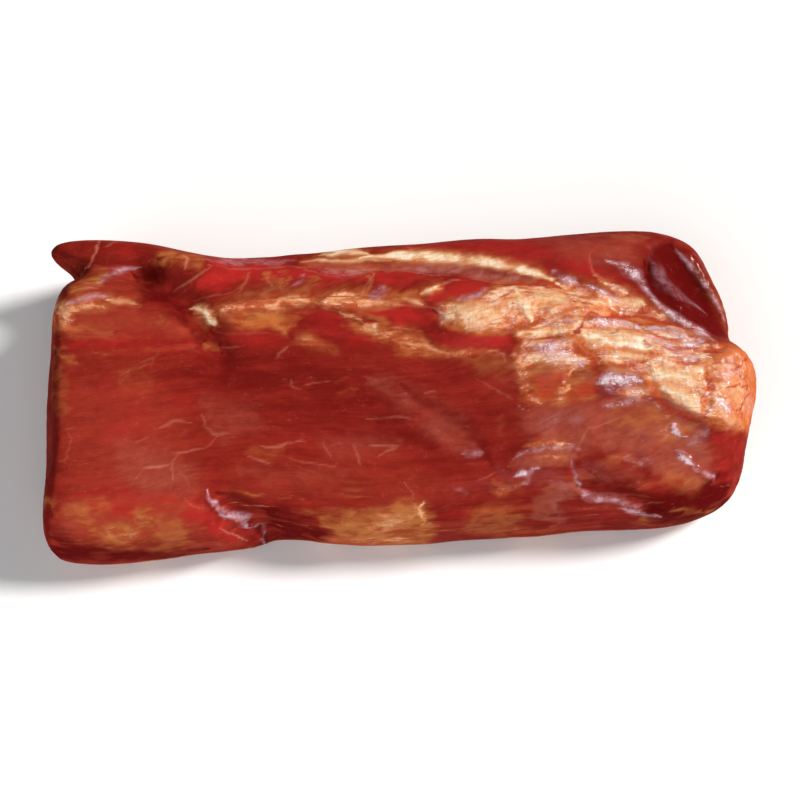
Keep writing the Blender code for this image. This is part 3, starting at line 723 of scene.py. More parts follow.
# %% Cream fat
PATHS["fat"] = {
    "cream wedge": (0.75, [(316, 256, 0.8), (336, 252, 1.7), (354, 251, 1.7), (372, 257, 0.9)]),
    "fat seam": (0.95, [
        (362, 259, 1.0), (384, 257, 1.6), (400, 256, 2.0), (430, 257, 2.3), (460, 259, 2.1), (488, 262, 2.1),
        (504, 265, 2.3), (522, 269, 2.0), (538, 275, 1.6), (556, 283, 1.1), (566, 288, 0.6)]),
    "white line": (0.6, [
        (300, 262, 0.7), (320, 261, 0.8), (338, 261, 1.2), (360, 260, 1.1), (390, 262, 0.9)]),
    "cream nub": (1.0, [(192, 309, 1.2), (203, 311, 2.0), (208, 316, 2.1), (213, 325, 1.1)]),
    "pale strip": (0.8, [(106, 299, 0.8), (123, 301, 1.2), (140, 306, 0.8)]),
    "sheet's pale heart": (0.6, [(448, 312, 2.0), (468, 310, 4.2), (488, 314, 3.8), (506, 313, 2.2)]),
    "bright fold": (0.95, [(515, 290, 1.1), (523, 303, 1.8), (528, 313, 1.8), (531, 322, 1.1)]),
    "pale by the fold": (0.7, [(532, 296, 2.4), (548, 296, 3.0), (566, 304, 2.4)]),
    "rolled edge": (0.8, [(524, 331, 0.8), (545, 333, 1.3), (560, 332, 1.2), (573, 330, 0.7)]),
    "cream bank": (0.95, [
        (580, 334, 1.6), (598, 337, 3.2), (620, 341, 4.4), (640, 344, 3.4), (656, 350, 2.0)]),
    "lower cream bank": (0.7, [(606, 356, 1.4), (626, 355, 2.0), (650, 358, 1.6)]),
    "cream knuckle": (0.9, [(654, 371, 1.8), (672, 375, 3.4), (690, 374, 3.6), (706, 370, 2.0)]),
    "pale knuckle": (0.85, [(660, 388, 2.4), (678, 394, 3.2), (690, 402, 3.0), (702, 413, 1.6)]),
    "bank by the hollow": (0.85, [(618, 299, 1.2), (632, 302, 2.0), (646, 304, 1.2)]),
    "knob's bright fold": (0.7, [(711, 398, 1.6), (722, 411, 2.3), (733, 420, 1.8), (746, 425, 1.1)]),
    "knob's pale cheek": (0.7, [(718, 384, 2.0), (733, 391, 2.6), (740, 402, 2.0)]),
    "knob's top": (0.5, [(690, 366, 1.4), (712, 370, 2.4), (730, 374, 2.0)]),
    "pale corner": (0.6, [(402, 299, 0.8), (413, 301, 1.6), (424, 305, 0.9)]),
    "white bead": (1.0, [(421, 294, 0.8), (430, 291, 1.4), (440, 286, 0.8)]),
    "ragged fat edge": (0.6, [(420, 500, 0.7), (420, 510, 1.1), (421, 520, 0.6), (424, 528, 0.5)]),
    "fork of the knuckle": (0.8, [(649, 360, 0.7), (655, 372, 1.0), (660, 382, 0.7)]),
    "line under the sheet": (0.5, [(400, 344, 0.7), (420, 345, 1.0), (436, 350, 1.0), (456, 356, 0.7)]),
    # cream fat at the bead, partly a painted highlight where the lamp glints on it
    "bead by the hollow": (0.8, [(668, 326, 0.9), (677, 332, 1.6), (686, 338, 0.9)]),
    "cheek of the knob": (0.45, [(742, 380, 1.4), (748, 392, 1.8), (746, 410, 1.4)]),
    "back fold's fat": (0.14, [(612, 236, 1.4), (632, 238, 2.0), (650, 238, 1.2)]),
}
print(len(PATHS["fat"]), "streaks of cream fat")

# %% [markdown]
# ### Rust and windows in the sheets
# Where a sheet folds, the smoke collects and leaves a rusty line. Where it is torn, the lean shows
# through as a dark red window. Both are laid over the sheets, because they cut through them.

# %% Rust
AREAS["rust"] = {
    "knob": (0.56, 6, [(704, 352), (740, 346), (758, 366), (758, 410), (746, 430), (712, 416)]),
    "knob's crown": (0.95, 4, [
        (704, 356), (722, 345), (744, 343), (758, 356), (746, 361), (730, 359), (714, 364)]),
    "knob's right cheek": (0.8, 5, [
        (742, 352), (752, 354), (764, 376), (762, 410), (750, 430), (738, 424), (744, 404), (742, 378)]),
    "under the fibres": (0.4, 5, [(540, 314), (600, 308), (664, 318), (690, 330), (640, 324), (590, 318)]),
}
PATHS["rust"] = {
    "orange under the bank": (0.7, [(600, 350, 0.8), (616, 352, 1.2), (634, 350, 1.0), (648, 352, 0.6)]),
    "orange in the heart": (0.5, [(452, 322, 0.8), (474, 326, 1.2), (500, 326, 1.2)]),
    "orange at the sheet's head": (0.5, [(480, 298, 0.8), (492, 292, 1.4), (504, 288, 1.0)]),
    "orange on the knob": (0.6, [(716, 378, 0.8), (724, 386, 1.2), (722, 396, 0.8)]),
    "orange fibres": (0.95, [
        (533, 320, 0.9), (562, 312, 1.4), (592, 309, 1.4), (622, 313, 1.1), (650, 319, 1.1),
        (694, 326, 1.0)]),
    "orange over the heart": (0.5, [(486, 296, 0.8), (496, 306, 1.4), (506, 318, 1.4), (512, 327, 1.0)]),
    "orange groove": (0.95, [(570, 334, 1.2), (584, 346, 1.8), (600, 364, 1.8)]),
    "orange by the knuckle": (0.9, [(642, 380, 1.6), (652, 384, 2.4), (660, 392, 2.0), (670, 402, 1.4)]),
    "orange between the knuckles": (0.75, [
        (706, 366, 1.2), (707, 384, 1.6), (705, 400, 1.6), (704, 416, 1.2)]),
    "orange crescent": (0.95, [(712, 360, 1.4), (728, 353, 2.6), (742, 352, 2.0), (752, 358, 1.0)]),
    "knob's underside": (0.8, [(733, 428, 1.4), (746, 420, 1.6), (753, 404, 1.4)]),
    "knob's edge": (0.5, [(750, 366, 1.0), (755, 382, 1.4), (754, 398, 1.0)]),
    "bank's foot": (0.6, [(588, 352, 1.0), (620, 351, 1.0), (655, 355, 1.2), (700, 362, 1.4)]),
    "under the long fibres": (0.5, [(550, 288, 0.8), (590, 298, 1.2), (630, 309, 1.0)]),
    "shelf's orange": (0.5, [(226, 320, 1.2), (256, 324, 1.8), (286, 322, 1.4)]),
    "left band's orange": (0.5, [(60, 318, 1.0), (70, 326, 1.4), (80, 330, 1.0)]),
    "streak in the lower sheet": (0.5, [(650, 335, 0.8), (676, 342, 1.2), (704, 352, 1.2)]),
    "knuckle's edge": (0.5, [(656, 364, 0.8), (680, 366, 1.0), (704, 364, 0.8)]),
}
print(len(AREAS["rust"]) + len(PATHS["rust"]), "rusty places")

# %% Windows
AREAS["window"] = {
    "bracket's window": (0.6, 7, [
        (535, 374), (550, 371), (566, 371), (562, 388), (556, 401), (540, 402), (533, 390)]),
    "bracket's window, right": (0.6, 7, [
        (574, 386), (584, 379), (597, 375), (597, 390), (586, 400), (570, 401)]),
}
PATHS["window"] = {
    "red streak under the ledge": (0.7, [(636, 331, 0.5), (658, 337, 0.9), (678, 341, 0.6)]),
    "red streak by the beads": (0.7, [(660, 347, 0.5), (680, 351, 0.8), (702, 353, 0.8), (724, 350, 0.5)]),
    "red streak over the knob": (0.55, [(664, 359, 0.5), (688, 363, 0.8), (708, 361, 0.6)]),
    "red in the knob": (0.9, [(700, 372, 0.5), (706, 386, 0.9), (703, 402, 0.7)]),
    "red over the knob's top": (0.7, [(714, 364, 0.5), (730, 361, 0.9), (744, 367, 0.6)]),
    "red on the knob's edge": (0.7, [(738, 372, 0.5), (747, 380, 0.8), (752, 394, 0.6)]),
    "red in the knob, right": (0.8, [(726, 389, 0.5), (738, 384, 0.7), (749, 387, 0.6)]),
    "red in the knob, low": (0.85, [(732, 410, 0.5), (745, 403, 0.7), (753, 391, 0.5)]),
    "red in the upper sheet": (0.5, [(502, 300, 0.8), (508, 312, 1.5), (512, 322, 1.0)]),
    "red left of the patch": (0.6, [(526, 342, 0.6), (530, 352, 1.0), (528, 364, 0.8)]),
    "fibre seam": (0.8, [
        (594, 314, 0.6), (612, 316, 0.9), (640, 318, 1.1), (665, 323, 1.1), (694, 330, 0.9)]),
    "crack in the sheet": (0.9, [(571, 336, 0.7), (583, 322, 0.9), (594, 313, 0.7)]),
    "nick": (0.55, [(641, 340, 0.6), (645, 346, 0.9), (650, 350, 0.5)]),
    "sliver under the seam": (1.0, [(498, 285, 0.6), (520, 281, 1.2), (545, 283, 1.0), (562, 288, 0.6)]),
    "under the ledge": (0.6, [(588, 331, 0.6), (640, 332, 0.8), (662, 336, 0.7)]),
    "groove": (0.6, [(580, 344, 0.8), (592, 358, 1.2), (600, 366, 0.8)]),
    "round the knuckles": (0.5, [
        (652, 386, 1.2), (658, 396, 1.7), (670, 406, 1.8), (690, 415, 1.8), (716, 422, 1.4)]),
    "knob's crack": (0.7, [(731, 374, 0.6), (741, 363, 1.0), (753, 356, 0.6)]),
    "over the knob": (0.6, [(672, 346, 0.9), (694, 351, 1.1), (716, 348, 1.0), (732, 344, 0.7)]),
    "knob's inner groove": (0.6, [(706, 374, 0.8), (710, 390, 1.2), (706, 412, 0.9)]),
    "in the crinkled edge": (0.7, [(520, 338, 0.8), (517, 350, 1.2), (520, 362, 0.8)]),
    "between the patches": (0.6, [(594, 370, 0.9), (598, 380, 1.2), (594, 390, 0.9)]),
    "under the bright fold": (0.5, [(506, 326, 0.8), (516, 322, 1.4), (520, 314, 1.0)]),
}
print(len(AREAS["window"]) + len(PATHS["window"]), "windows in the sheets")

# %% [markdown]
# ### Violet sheen, painted
# Wet silverskin catches the light with a violet sheen, strongest on the lips of the folds and on two
# rounded patches. A gloss alone would give white points, so the sheen is painted into the colour as
# a violet highlight, and along the back edge as a painted reflection of the table.

# %% Painted violet sheen
# painted sheen and highlights of wet silverskin, drawn as violet colour
PATHS["painted_sheen"] = {
    "sheen by the tongue": (0.6, [(95, 285, 0.6), (108, 276, 1.5), (120, 271, 1.6), (138, 267, 0.7)]),
    "violet edge of the band": (0.5, [(64, 304, 1.1), (78, 301, 1.3), (95, 296, 1.4), (112, 296, 0.9)]),
    # painted reflection along the back edge
    "pink back edge": (0.4, [(202, 260, 1.2), (232, 261, 1.6), (262, 262, 1.4), (296, 261, 1.0)]),
    "pink under the seam": (0.3, [(318, 269, 1.0), (338, 273, 2.0), (352, 273, 1.6), (372, 271, 0.9)]),
    "grey under the seam": (0.25, [
        (400, 267, 1.2), (430, 269, 1.6), (464, 270, 1.6), (500, 276, 1.4), (534, 281, 1.0)]),
    "pink flecks": (0.6, [(370, 300, 1.4), (378, 294, 2.2), (386, 286, 1.4)]),
    "pink flecks, left": (0.4, [(292, 287, 1.0), (300, 281, 1.3), (304, 274, 0.8)]),
    "violet hook": (0.6, [(441, 310, 0.7), (444, 318, 1.1), (442, 328, 0.7)]),
    "violet on the lens": (0.5, [(458, 300, 1.0), (476, 294, 1.3), (490, 286, 1.0)]),
    "violet over the fibres": (0.6, [(552, 271, 1.0), (564, 277, 1.8), (580, 284, 1.1)]),
    "violet streak": (0.75, [(584, 284, 0.9), (598, 290, 1.3), (610, 297, 1.0), (624, 307, 0.7)]),
    "hollow's near lip": (0.85, [
        (606, 260, 1.1), (620, 265, 2.0), (634, 273, 2.4), (643, 284, 1.5), (652, 297, 1.0), (664, 309, 1.2),
        (676, 317, 1.6), (690, 327, 1.7), (704, 334, 2.1), (718, 342, 1.4)]),
    "hollow's inner fold": (0.32, [
        (648, 256, 1.2), (657, 270, 2.2), (662, 283, 2.4), (674, 292, 1.6), (690, 303, 1.0),
        (708, 315, 0.6)]),
    "silver ledge": (1.0, [(588, 322, 1.4), (608, 323, 2.2), (624, 324, 2.0), (642, 328, 1.1)]),
    "silver ledge, right": (0.9, [(646, 329, 1.4), (662, 329, 1.3), (676, 334, 1.8), (692, 340, 1.3)]),
    "violet beads": (0.9, [(680, 345, 1.4), (692, 345, 1.8), (704, 341, 1.2)]),
    "pink over the bank": (0.5, [(644, 336, 1.0), (656, 343, 1.6), (668, 341, 1.2)]),
    "pink under the fibres": (0.5, [(540, 324, 0.9), (556, 322, 1.6), (576, 321, 1.2)]),
    "pink edge of the patch": (0.5, [(526, 340, 1.0), (524, 352, 1.4), (530, 362, 1.0)]),
    "pink by the knob": (0.75, [(664, 344, 1.6), (676, 352, 2.0), (688, 358, 2.0), (702, 360, 1.2)]),
    "silver patch": (0.75, [(534, 345, 1.8), (546, 350, 3.6), (560, 352, 4.2), (572, 352, 2.6)]),
    "silver patch's edge": (0.6, [(564, 356, 1.2), (576, 361, 1.6), (585, 367, 0.9)]),
    "violet patch": (0.8, [(598, 384, 1.8), (611, 379, 3.2), (626, 379, 3.2), (640, 381, 2.0)]),
    "violet patch's tail": (0.4, [(604, 390, 1.6), (618, 389, 1.6), (632, 385, 1.0)]),
    "pale sweep": (0.5, [(602, 407, 1.2), (620, 403, 1.8), (634, 400, 1.4), (652, 399, 0.8)]),
    "pale bead": (0.6, [(654, 401, 1.0), (660, 409, 1.3)]),
    "haze": (0.18, [(532, 424, 2.6), (556, 420, 3.4), (574, 418, 2.8), (588, 424, 1.6)]),
    "arc's violet": (0.5, [
        (512, 459, 0.7), (524, 452, 1.0), (545, 449, 1.2), (564, 447, 1.4), (580, 449, 1.2)]),
    "little fork": (0.8, [
        (514, 479, 0.7), (522, 474, 1.4), (529, 474, 1.2), (536, 469, 0.7), (542, 467, 0.5)]),
    "little fork, low": (0.5, [(520, 484, 0.6), (528, 481, 0.8), (531, 474, 0.6)]),
    "haze by the crease": (0.15, [(552, 482, 1.8), (561, 486, 2.6), (556, 502, 2.8), (556, 516, 2.0)]),
    "upright thread": (0.6, [(571, 460, 0.6), (573, 472, 0.8), (574, 486, 0.8)]),
    "lower crease's lip": (0.75, [
        (573, 488, 0.8), (584, 497, 1.2), (600, 499, 1.3), (616, 500, 1.5), (630, 507, 1.5), (645, 512, 1.6),
        (660, 518, 0.9)]),
    "front fold's lip": (0.9, [
        (207, 489, 0.8), (209, 502, 1.0), (218, 509, 1.2), (230, 514, 1.6), (241, 520, 2.0),
        (253, 527, 1.2)]),
    "front fold's tail": (0.5, [(256, 525, 0.7), (262, 533, 1.0), (268, 544, 0.8)]),
    "slope's grey": (0.25, [(688, 445, 1.4), (699, 437, 2.2), (710, 428, 1.2)]),
    "knob's violet": (0.6, [(724, 376, 1.1), (736, 372, 1.4), (744, 376, 0.8)]),
    "knob's violet, left": (0.5, [(712, 370, 1.0), (720, 377, 1.5), (728, 381, 0.9)]),
    "knob's violet, edge": (0.4, [(746, 392, 0.9), (750, 404, 1.2), (747, 416, 0.8)]),
    "knob's violet, low": (0.9, [(716, 398, 1.2), (722, 404, 1.6), (728, 412, 1.2)]),
    "dimple": (0.4, [(637, 436, 1.2), (644, 441, 1.2)]),
    "slanting lip, upper": (1.0, [(671, 424, 0.8), (679, 430, 1.4), (688, 437, 0.8)]),
    "slanting lip, middle": (0.9, [(676, 450, 0.8), (685, 457, 1.4), (694, 464, 0.8)]),
    "slanting lip, lower": (0.8, [(694, 466, 0.8), (703, 474, 1.2), (713, 481, 0.8)]),
    "pale smudge": (0.3, [(453, 488, 0.9), (462, 493, 1.3), (466, 497, 0.7)]),
    "pale smudge, upper": (0.45, [(462, 453, 1.0), (473, 454, 1.5), (484, 452, 0.8)]),
    "rim": (0.6, [(674, 250, 0.8), (690, 266, 1.0), (708, 290, 1.0), (724, 322, 0.8)]),
}
print(len(PATHS["painted_sheen"]), "places with bloom")

# %% [markdown]
# ### Threads
# Fine threads of tissue and small veins wander over the lean. They are hair-thin, so each one is a
# path of its own, and noise alone would make them look like a pattern.

# %% Threads
PATHS["threads"] = {
    "tongue's pale line": (0.75, [
        (86, 272, 0.6), (92, 260, 0.8), (96, 252, 0.8), (98, 246, 0.8), (102, 238, 0.8)]),
    "tongue's second line": (0.5, [(104, 247, 0.6), (112, 243, 0.7), (120, 239, 0.6)]),
    "orange glint": (0.9, [(181, 255, 0.6), (186, 261, 0.9), (184, 270, 0.5)]),
    "gold thread": (0.7, [(78, 289, 0.5), (88, 288, 0.7), (96, 289, 0.4)]),
    "thread by the sheen": (0.7, [(97, 287, 0.6), (102, 282, 0.7)]),
    "chain thread": (0.6, [(172, 292, 0.7), (188, 283, 0.8), (200, 274, 0.8), (212, 267, 0.6)]),
    "chain thread, low": (0.35, [(192, 302, 0.6), (214, 296, 0.7), (236, 292, 0.6)]),
    "long thread on the chain": (0.5, [
        (208, 265, 0.6), (240, 268, 0.6), (268, 268, 0.7), (290, 267, 0.7), (312, 271, 0.6), (330, 276, 0.7),
        (350, 279, 0.5)]),
    "steep thread": (0.5, [(251, 269, 0.5), (245, 282, 0.7), (235, 298, 0.5)]),
    "steep thread, second": (0.6, [(268, 272, 0.5), (269, 280, 0.7), (276, 290, 0.5)]),
    "steep thread, third": (0.7, [(375, 271, 0.6), (369, 283, 0.8), (361, 296, 0.7)]),
    "slanting thread": (0.5, [(260, 296, 0.5), (268, 291, 0.7), (277, 285, 0.5)]),
    "bead thread": (0.8, [(436, 288, 0.6), (446, 283, 0.8), (458, 279, 0.6)]),
    "hair over the bundles": (0.5, [(402, 269, 0.5), (420, 273, 0.6), (450, 276, 0.5)]),
    "hair along the bundle": (0.5, [(396, 305, 0.5), (425, 307, 0.6), (444, 311, 0.5)]),
    "hair under the bundle": (0.55, [(382, 327, 0.5), (404, 328, 0.6), (424, 331, 0.5)]),
    "edge of the gold": (0.6, [(418, 334, 0.5), (424, 343, 0.7), (434, 349, 0.5)]),
    "eye's upper edge": (0.4, [(94, 353, 0.6), (104, 354, 0.7), (116, 354, 0.6)]),
    "eye's upper edge, middle": (0.45, [(222, 348, 0.7), (232, 348, 0.7), (244, 346, 0.6)]),
    "slanting vein": (0.3, [(118, 379, 0.6), (134, 368, 0.7), (148, 360, 0.6), (160, 351, 0.6)]),
    "short vein": (0.65, [(275, 360, 0.7), (280, 352, 0.9), (288, 346, 0.7)]),
    "left hook": (0.45, [(64, 430, 0.7), (70, 429, 0.8), (80, 428, 0.6)]),
    "left hook, stem": (0.35, [(70, 430, 0.6), (70, 445, 0.6), (66, 456, 0.6), (64, 468, 0.5)]),
    "vein": (0.5, [(156, 428, 0.6), (168, 424, 0.9), (176, 421, 0.9), (194, 424, 0.6)]),
    "forked vein": (0.62, [(202, 414, 0.7), (208, 427, 0.9), (215, 434, 1.0), (232, 432, 0.7)]),
    "forked vein, lower": (0.6, [
        (217, 435, 0.7), (208, 446, 0.7), (198, 449, 0.6), (184, 453, 0.7), (168, 454, 0.5)]),
    "forked vein, tail": (0.4, [(179, 454, 0.5), (174, 462, 0.6), (168, 468, 0.5)]),
    "bright vein": (0.75, [(142, 468, 0.6), (150, 467, 0.9), (162, 466, 0.8), (174, 465, 0.7)]),
    "bright vein, stem": (0.5, [(173, 465, 0.6), (173, 474, 0.7), (172, 482, 0.5)]),
    "bright vein, left": (0.45, [(144, 469, 0.5), (138, 476, 0.6), (131, 484, 0.5)]),
    "bright vein, right": (0.4, [(178, 470, 0.5), (186, 478, 0.6), (190, 488, 0.5)]),
    "dash": (0.4, [(135, 443, 0.6), (144, 439, 0.6), (152, 436, 0.5)]),
    "pale fleck": (0.65, [(258, 446, 0.6), (272, 447, 0.8), (282, 445, 1.0), (290, 441, 0.6)]),
    "pale fleck, right": (0.5, [(286, 444, 0.5), (298, 441, 0.6), (306, 441, 0.4)]),
    "second fleck": (0.55, [(246, 455, 0.6), (256, 459, 0.8), (270, 463, 0.5)]),
    "long hair": (0.4, [(284, 457, 0.5), (302, 462, 0.6), (318, 465, 0.6), (336, 467, 0.4)]),
    "two stems, left": (0.35, [(323, 441, 0.6), (328, 452, 0.8), (329, 460, 0.6)]),
    "two stems, joint": (0.3, [(328, 449, 0.5), (336, 444, 0.6), (344, 444, 0.4)]),
    "two stems, right": (0.45, [(353, 441, 0.7), (355, 452, 0.8), (360, 460, 0.8), (363, 467, 0.6)]),
    "bright dash": (0.65, [(364, 446, 0.5), (384, 446, 0.8), (398, 447, 1.0)]),
    "bright dash, tail": (0.45, [(396, 448, 0.7), (388, 452, 0.7), (378, 457, 0.5)]),
    "hair on the eye": (0.4, [(364, 420, 0.5), (384, 418, 0.6), (404, 418, 0.6), (416, 419, 0.4)]),
    "hair on the eye, left": (0.35, [(284, 419, 0.5), (299, 418, 0.5)]),
    "hair high on the eye": (0.35, [(300, 386, 0.5), (316, 383, 0.6), (334, 380, 0.5)]),
    "loop on the eye": (0.35, [(289, 378, 0.5), (293, 387, 0.7), (302, 390, 0.5)]),
    "dash beyond the arc": (0.45, [(422, 394, 0.5), (431, 391, 0.6), (439, 390, 0.4)]),
    "dash on the arc": (0.4, [(396, 397, 0.6), (407, 393, 0.6)]),
    "small hook": (0.45, [(404, 481, 0.5), (411, 489, 0.6), (415, 497, 0.5), (409, 502, 0.6)]),
    "fork": (0.5, [(496, 472, 0.5), (488, 477, 0.6), (478, 481, 0.4)]),
    "violet dash": (0.5, [(503, 470, 0.5), (511, 465, 0.5)]),
    "lower fold's hair": (0.9, [(222, 528, 0.5), (231, 533, 0.8), (238, 537, 0.7), (249, 542, 0.5)]),
    "fold's orange hair": (0.5, [(184, 496, 0.6), (190, 504, 0.7), (198, 510, 0.5)]),
    "right hook": (0.4, [(474, 378, 0.5), (488, 385, 0.6), (500, 392, 0.6), (516, 400, 0.7)]),
    "bright hook": (0.85, [(519, 405, 0.7), (530, 412, 0.7)]),
    "thread over the haze": (0.5, [(586, 429, 0.7), (598, 426, 0.7), (612, 421, 0.6), (630, 415, 0.4)]),
    "haze's stem": (0.45, [(588, 428, 0.7), (582, 440, 0.7), (575, 452, 0.7)]),
    "eye hook": (0.7, [(492, 349, 0.7), (501, 354, 0.8), (506, 364, 0.7)]),
    "eye ring": (0.6, [(510, 357, 0.8), (516, 353, 0.8)]),
    "thread under the knuckle": (0.6, [(636, 377, 0.5), (650, 377, 0.5)]),
    "dent's thread": (0.35, [(630, 458, 0.5), (636, 466, 0.6), (646, 463, 0.5)]),
    "dent's edge": (0.4, [(606, 456, 0.6), (620, 457, 0.7), (634, 457, 0.6)]),
    "foot thread": (0.5, [(646, 505, 0.5), (656, 502, 0.6), (668, 501, 0.5)]),
    "foot thread, right": (0.5, [(674, 502, 0.5), (682, 508, 0.6)]),
    "far dash": (0.6, [(722, 486, 0.6), (730, 486, 0.6)]),
    "strands by the hollow": (0.5, [
        (592, 250, 0.5), (590, 262, 0.6), (593, 272, 0.8), (604, 280, 0.8), (614, 288, 0.7)]),
    "strands by the hollow, low": (0.5, [(600, 278, 0.6), (612, 290, 0.7), (626, 303, 0.6)]),
    "stripe on the shelf": (0.3, [(212, 332, 0.6), (240, 334, 0.8), (270, 332, 0.6)]),
    "hair over the bank": (0.4, [(586, 300, 0.5), (600, 304, 0.6), (620, 309, 0.5)]),
    "red stripe's hair": (0.18, [(70, 336, 0.5), (100, 338, 0.7), (130, 341, 0.5)]),
    "red stripe's hair, right": (0.15, [(150, 343, 0.5), (176, 347, 0.7), (200, 352, 0.5)]),
}
print(len(PATHS["threads"]), "threads")

# %% [markdown]
# ## Frayed edges
# A path's edge would be smooth, like a brush stroke, and tissue never is. So we don't change the
# paths. We move the point that reads them: a little along the grain in long fingers, and a little
# across it in small waves. On the steep front flank the fingers are longer, because the photograph
# sees it at a slant and small marks would look stretched from the front. Round the hollow the edges
# stay crisp. Around the pale layers a wider and warmer one is drawn, so that no pale edge stands on
# bare lean.

# %% Push the edges about
# for each layer: where a path's edge ends, in shares of its half width, and how much it is frayed
EDGES = {
    "tan": (2.0, 1.0), "haze": (2.0, 1.0), "vivid": (2.0, 1.0), "dark_lean_and_shade": (1.9, 0.6),
    "smoke": (2.0, 0.9), "silverskin": (1.9, 0.8), "fat": (1.8, 0.5), "rust": (1.8, 0.7),
    "window": (1.5, 0.8), "painted_sheen": (1.7, 0.35), "threads": (1.25, 0.3),
}
FINGERS_MM = 2.6
WAVES_MM = 2.2
STEEP_FINGERS_MM = 10.0
CRISP_NEAR_HOLLOW = 0.7
ROUND_THE_HOLLOW = [(600, 236), (680, 232), (735, 300), (735, 340), (690, 335), (640, 300)]

liveliness = 1.0 - CRISP_NEAR_HOLLOW * soft_step(inside_area(seen, ROUND_THE_HOLLOW), -8.0, 8.0)
steep = soft_step(-outward[:, 1], 0.35, 0.75)


def frayed(seed, amount):
    """Each point's place in the photograph, pushed along the grain in fingers and across it in waves."""
    along = FINGERS_MM * streaks(9.0, 1.4, seed, 2) + FINGERS_MM * rough_noise(place_mm / 4.5, seed + 3, 3)
    along += STEEP_FINGERS_MM * steep * rough_noise(place_mm / [13.0, 9.0, 6.0], seed + 9, 3)
    across = WAVES_MM * rough_noise(place_mm / [6.0, 4.0, 4.0], seed + 5, 3)
    slant = np.radians(slant_of)
    push_right = along * np.cos(slant) - across * np.sin(slant)
    push_down = -np.sin(CAMERA_ELEVATION) * (along * np.sin(slant) + across * np.cos(slant))
    return seen + np.column_stack([push_right, push_down]) * (amount / PIXEL_MM * liveliness)[:, None]


print(f"{100 * steep.mean():.0f}% of the surface is steep and faces the front")


# %% Draw the layers
def layer_of(name, seed, swell=0.0):
    """The layer that its areas and paths draw: 1 inside them, frayed, and wider by swell pixels."""
    end, fray = EDGES[name]
    layer = np.zeros(count)
    places = frayed(seed, fray)
    uneven = np.clip(0.95 + 0.8 * rough_noise(place_mm / [7.0, 4.0, 4.0], seed + 7, 3), 0.55, 1.0)
    for strength, softness, corners in AREAS.get(name, {}).values():
        ring = np.array(corners)
        margin = 2 * softness + swell
        low, high = ring.min(axis=0) - margin, ring.max(axis=0) + margin
        near = np.flatnonzero(((places > low) & (places < high)).all(axis=1))
        inside = inside_area(places[near], corners) + swell
        layer[near] = np.maximum(layer[near], strength * soft_step(inside, -softness, softness))
    for strength, path in PATHS.get(name, {}).values():
        wider = [(x, y, width + swell * PIXEL_MM) for x, y, width in path]
        near, share = near_path(places, wider)
        cover = strength * (1.0 - soft_step(share, 0.0, end)) * uneven[near]
        layer[near] = np.maximum(layer[near], cover)
    return layer * facing


# each halo: the layer that gets it, the layer that it surrounds, its strength, its seed and its swell
HALOS = [("smoke", "silverskin", 0.85, 201, 4.0), ("smoke", "fat", 0.70, 211, 4.0),
         ("silverskin", "fat", 0.75, 221, 1.5)]

layers = {name: layer_of(name, 11 + 10 * k) for k, name in enumerate(EDGES)}
for below, above, strength, seed, swell in HALOS:
    layers[below] = np.maximum(layers[below], strength * layer_of(above, seed, swell))
for name, layer in layers.items():
    print(f"{name}: {100 * layer.mean():.1f}% of the surface")

# %% [markdown]
# ## The sides that the photograph doesn't show
# The back flank, the ends and the underside have to look as if the same cook had smoked them. The
# left end is a straight cut through the muscles, so it shows the seam between the eye muscle and the
# side muscle, and its rim is darker. The flanks are lean under thin silverskin. The underside is where
# the fat cap was trimmed, so it is golden brown fat and silverskin with windows of lean. The seams are
# paths on the cut end, in millimetres. The rest needs no exact places, so noise along the grain
# decides it.

# %% Which side is which
hidden = 1.0 - facing
height = place_mm[:, 2]
underside = soft_step(-outward[:, 2], 0.3, 0.8)
cut_end = soft_step(-outward[:, 0], 0.5, 0.85) * hidden
flank = hidden * (1.0 - underside) * (1.0 - cut_end)
side = flank + cut_end
front = steep * facing
near_foot = 1.0 - soft_step(height, 6.0, 24.0)
rim_wobble = 1.5 * rough_noise(place_mm / 9.0, 79, 3)
inner_rim = soft_step(-outward[:, 0] + 0.05 * rim_wobble, 0.80, 0.97)
end_rim = soft_step(-outward[:, 0], 0.3, 0.6) * (1.0 - inner_rim)
print("hidden sides:", f"{100 * hidden.mean():.0f}% of the points")

# %% Seams on the cut end: a strength, and places across and up in millimetres with half widths
END_SEAMS = {
    "seam over the eye": (0.8, [(14, 48, 0.8), (22, 39, 0.9), (34, 31, 1.1), (46, 22, 1.2), (58, 16, 1.2)]),
    "seam in the eye": (0.45, [(-52, 22, 0.5), (-36, 27, 0.5), (-16, 24, 0.6), (4, 27, 0.5), (18, 22, 0.5)]),
    "branch in the eye": (0.4, [(-16, 24, 0.4), (-10, 33, 0.5), (-12, 42, 0.4)]),
    "seam by the tongue": (0.6, [(40, 46, 0.8), (45, 38, 0.9), (52, 32, 0.7)]),
}
for strength, path in END_SEAMS.values():
    near, share = near_path(place_mm[:, 1:], path, pixel=1.0)
    wobble = 0.4 * rough_noise(place_mm[near] / 3.0, 5, 2)
    line = strength * (1.0 - soft_step(share + wobble, 0.2, 1.5)) * cut_end[near]
    broken = soft_step(rough_noise(place_mm[near] / 2.4, 6, 2), -0.4, 0.3)
    layers["threads"][near] = np.maximum(layers["threads"][near], 0.7 * line)
    layers["fat"][near] = np.maximum(layers["fat"][near], 0.8 * line * broken)
print(len(END_SEAMS), "seams on the cut end")

# %% Layers on the hidden sides
patchy = rough_noise(place_mm / [26.0, 14.0, 9.0], 81, 4)
drawn_out = streaks(34.0, 3.0, 82, 4)
everywhere = np.ones(count)
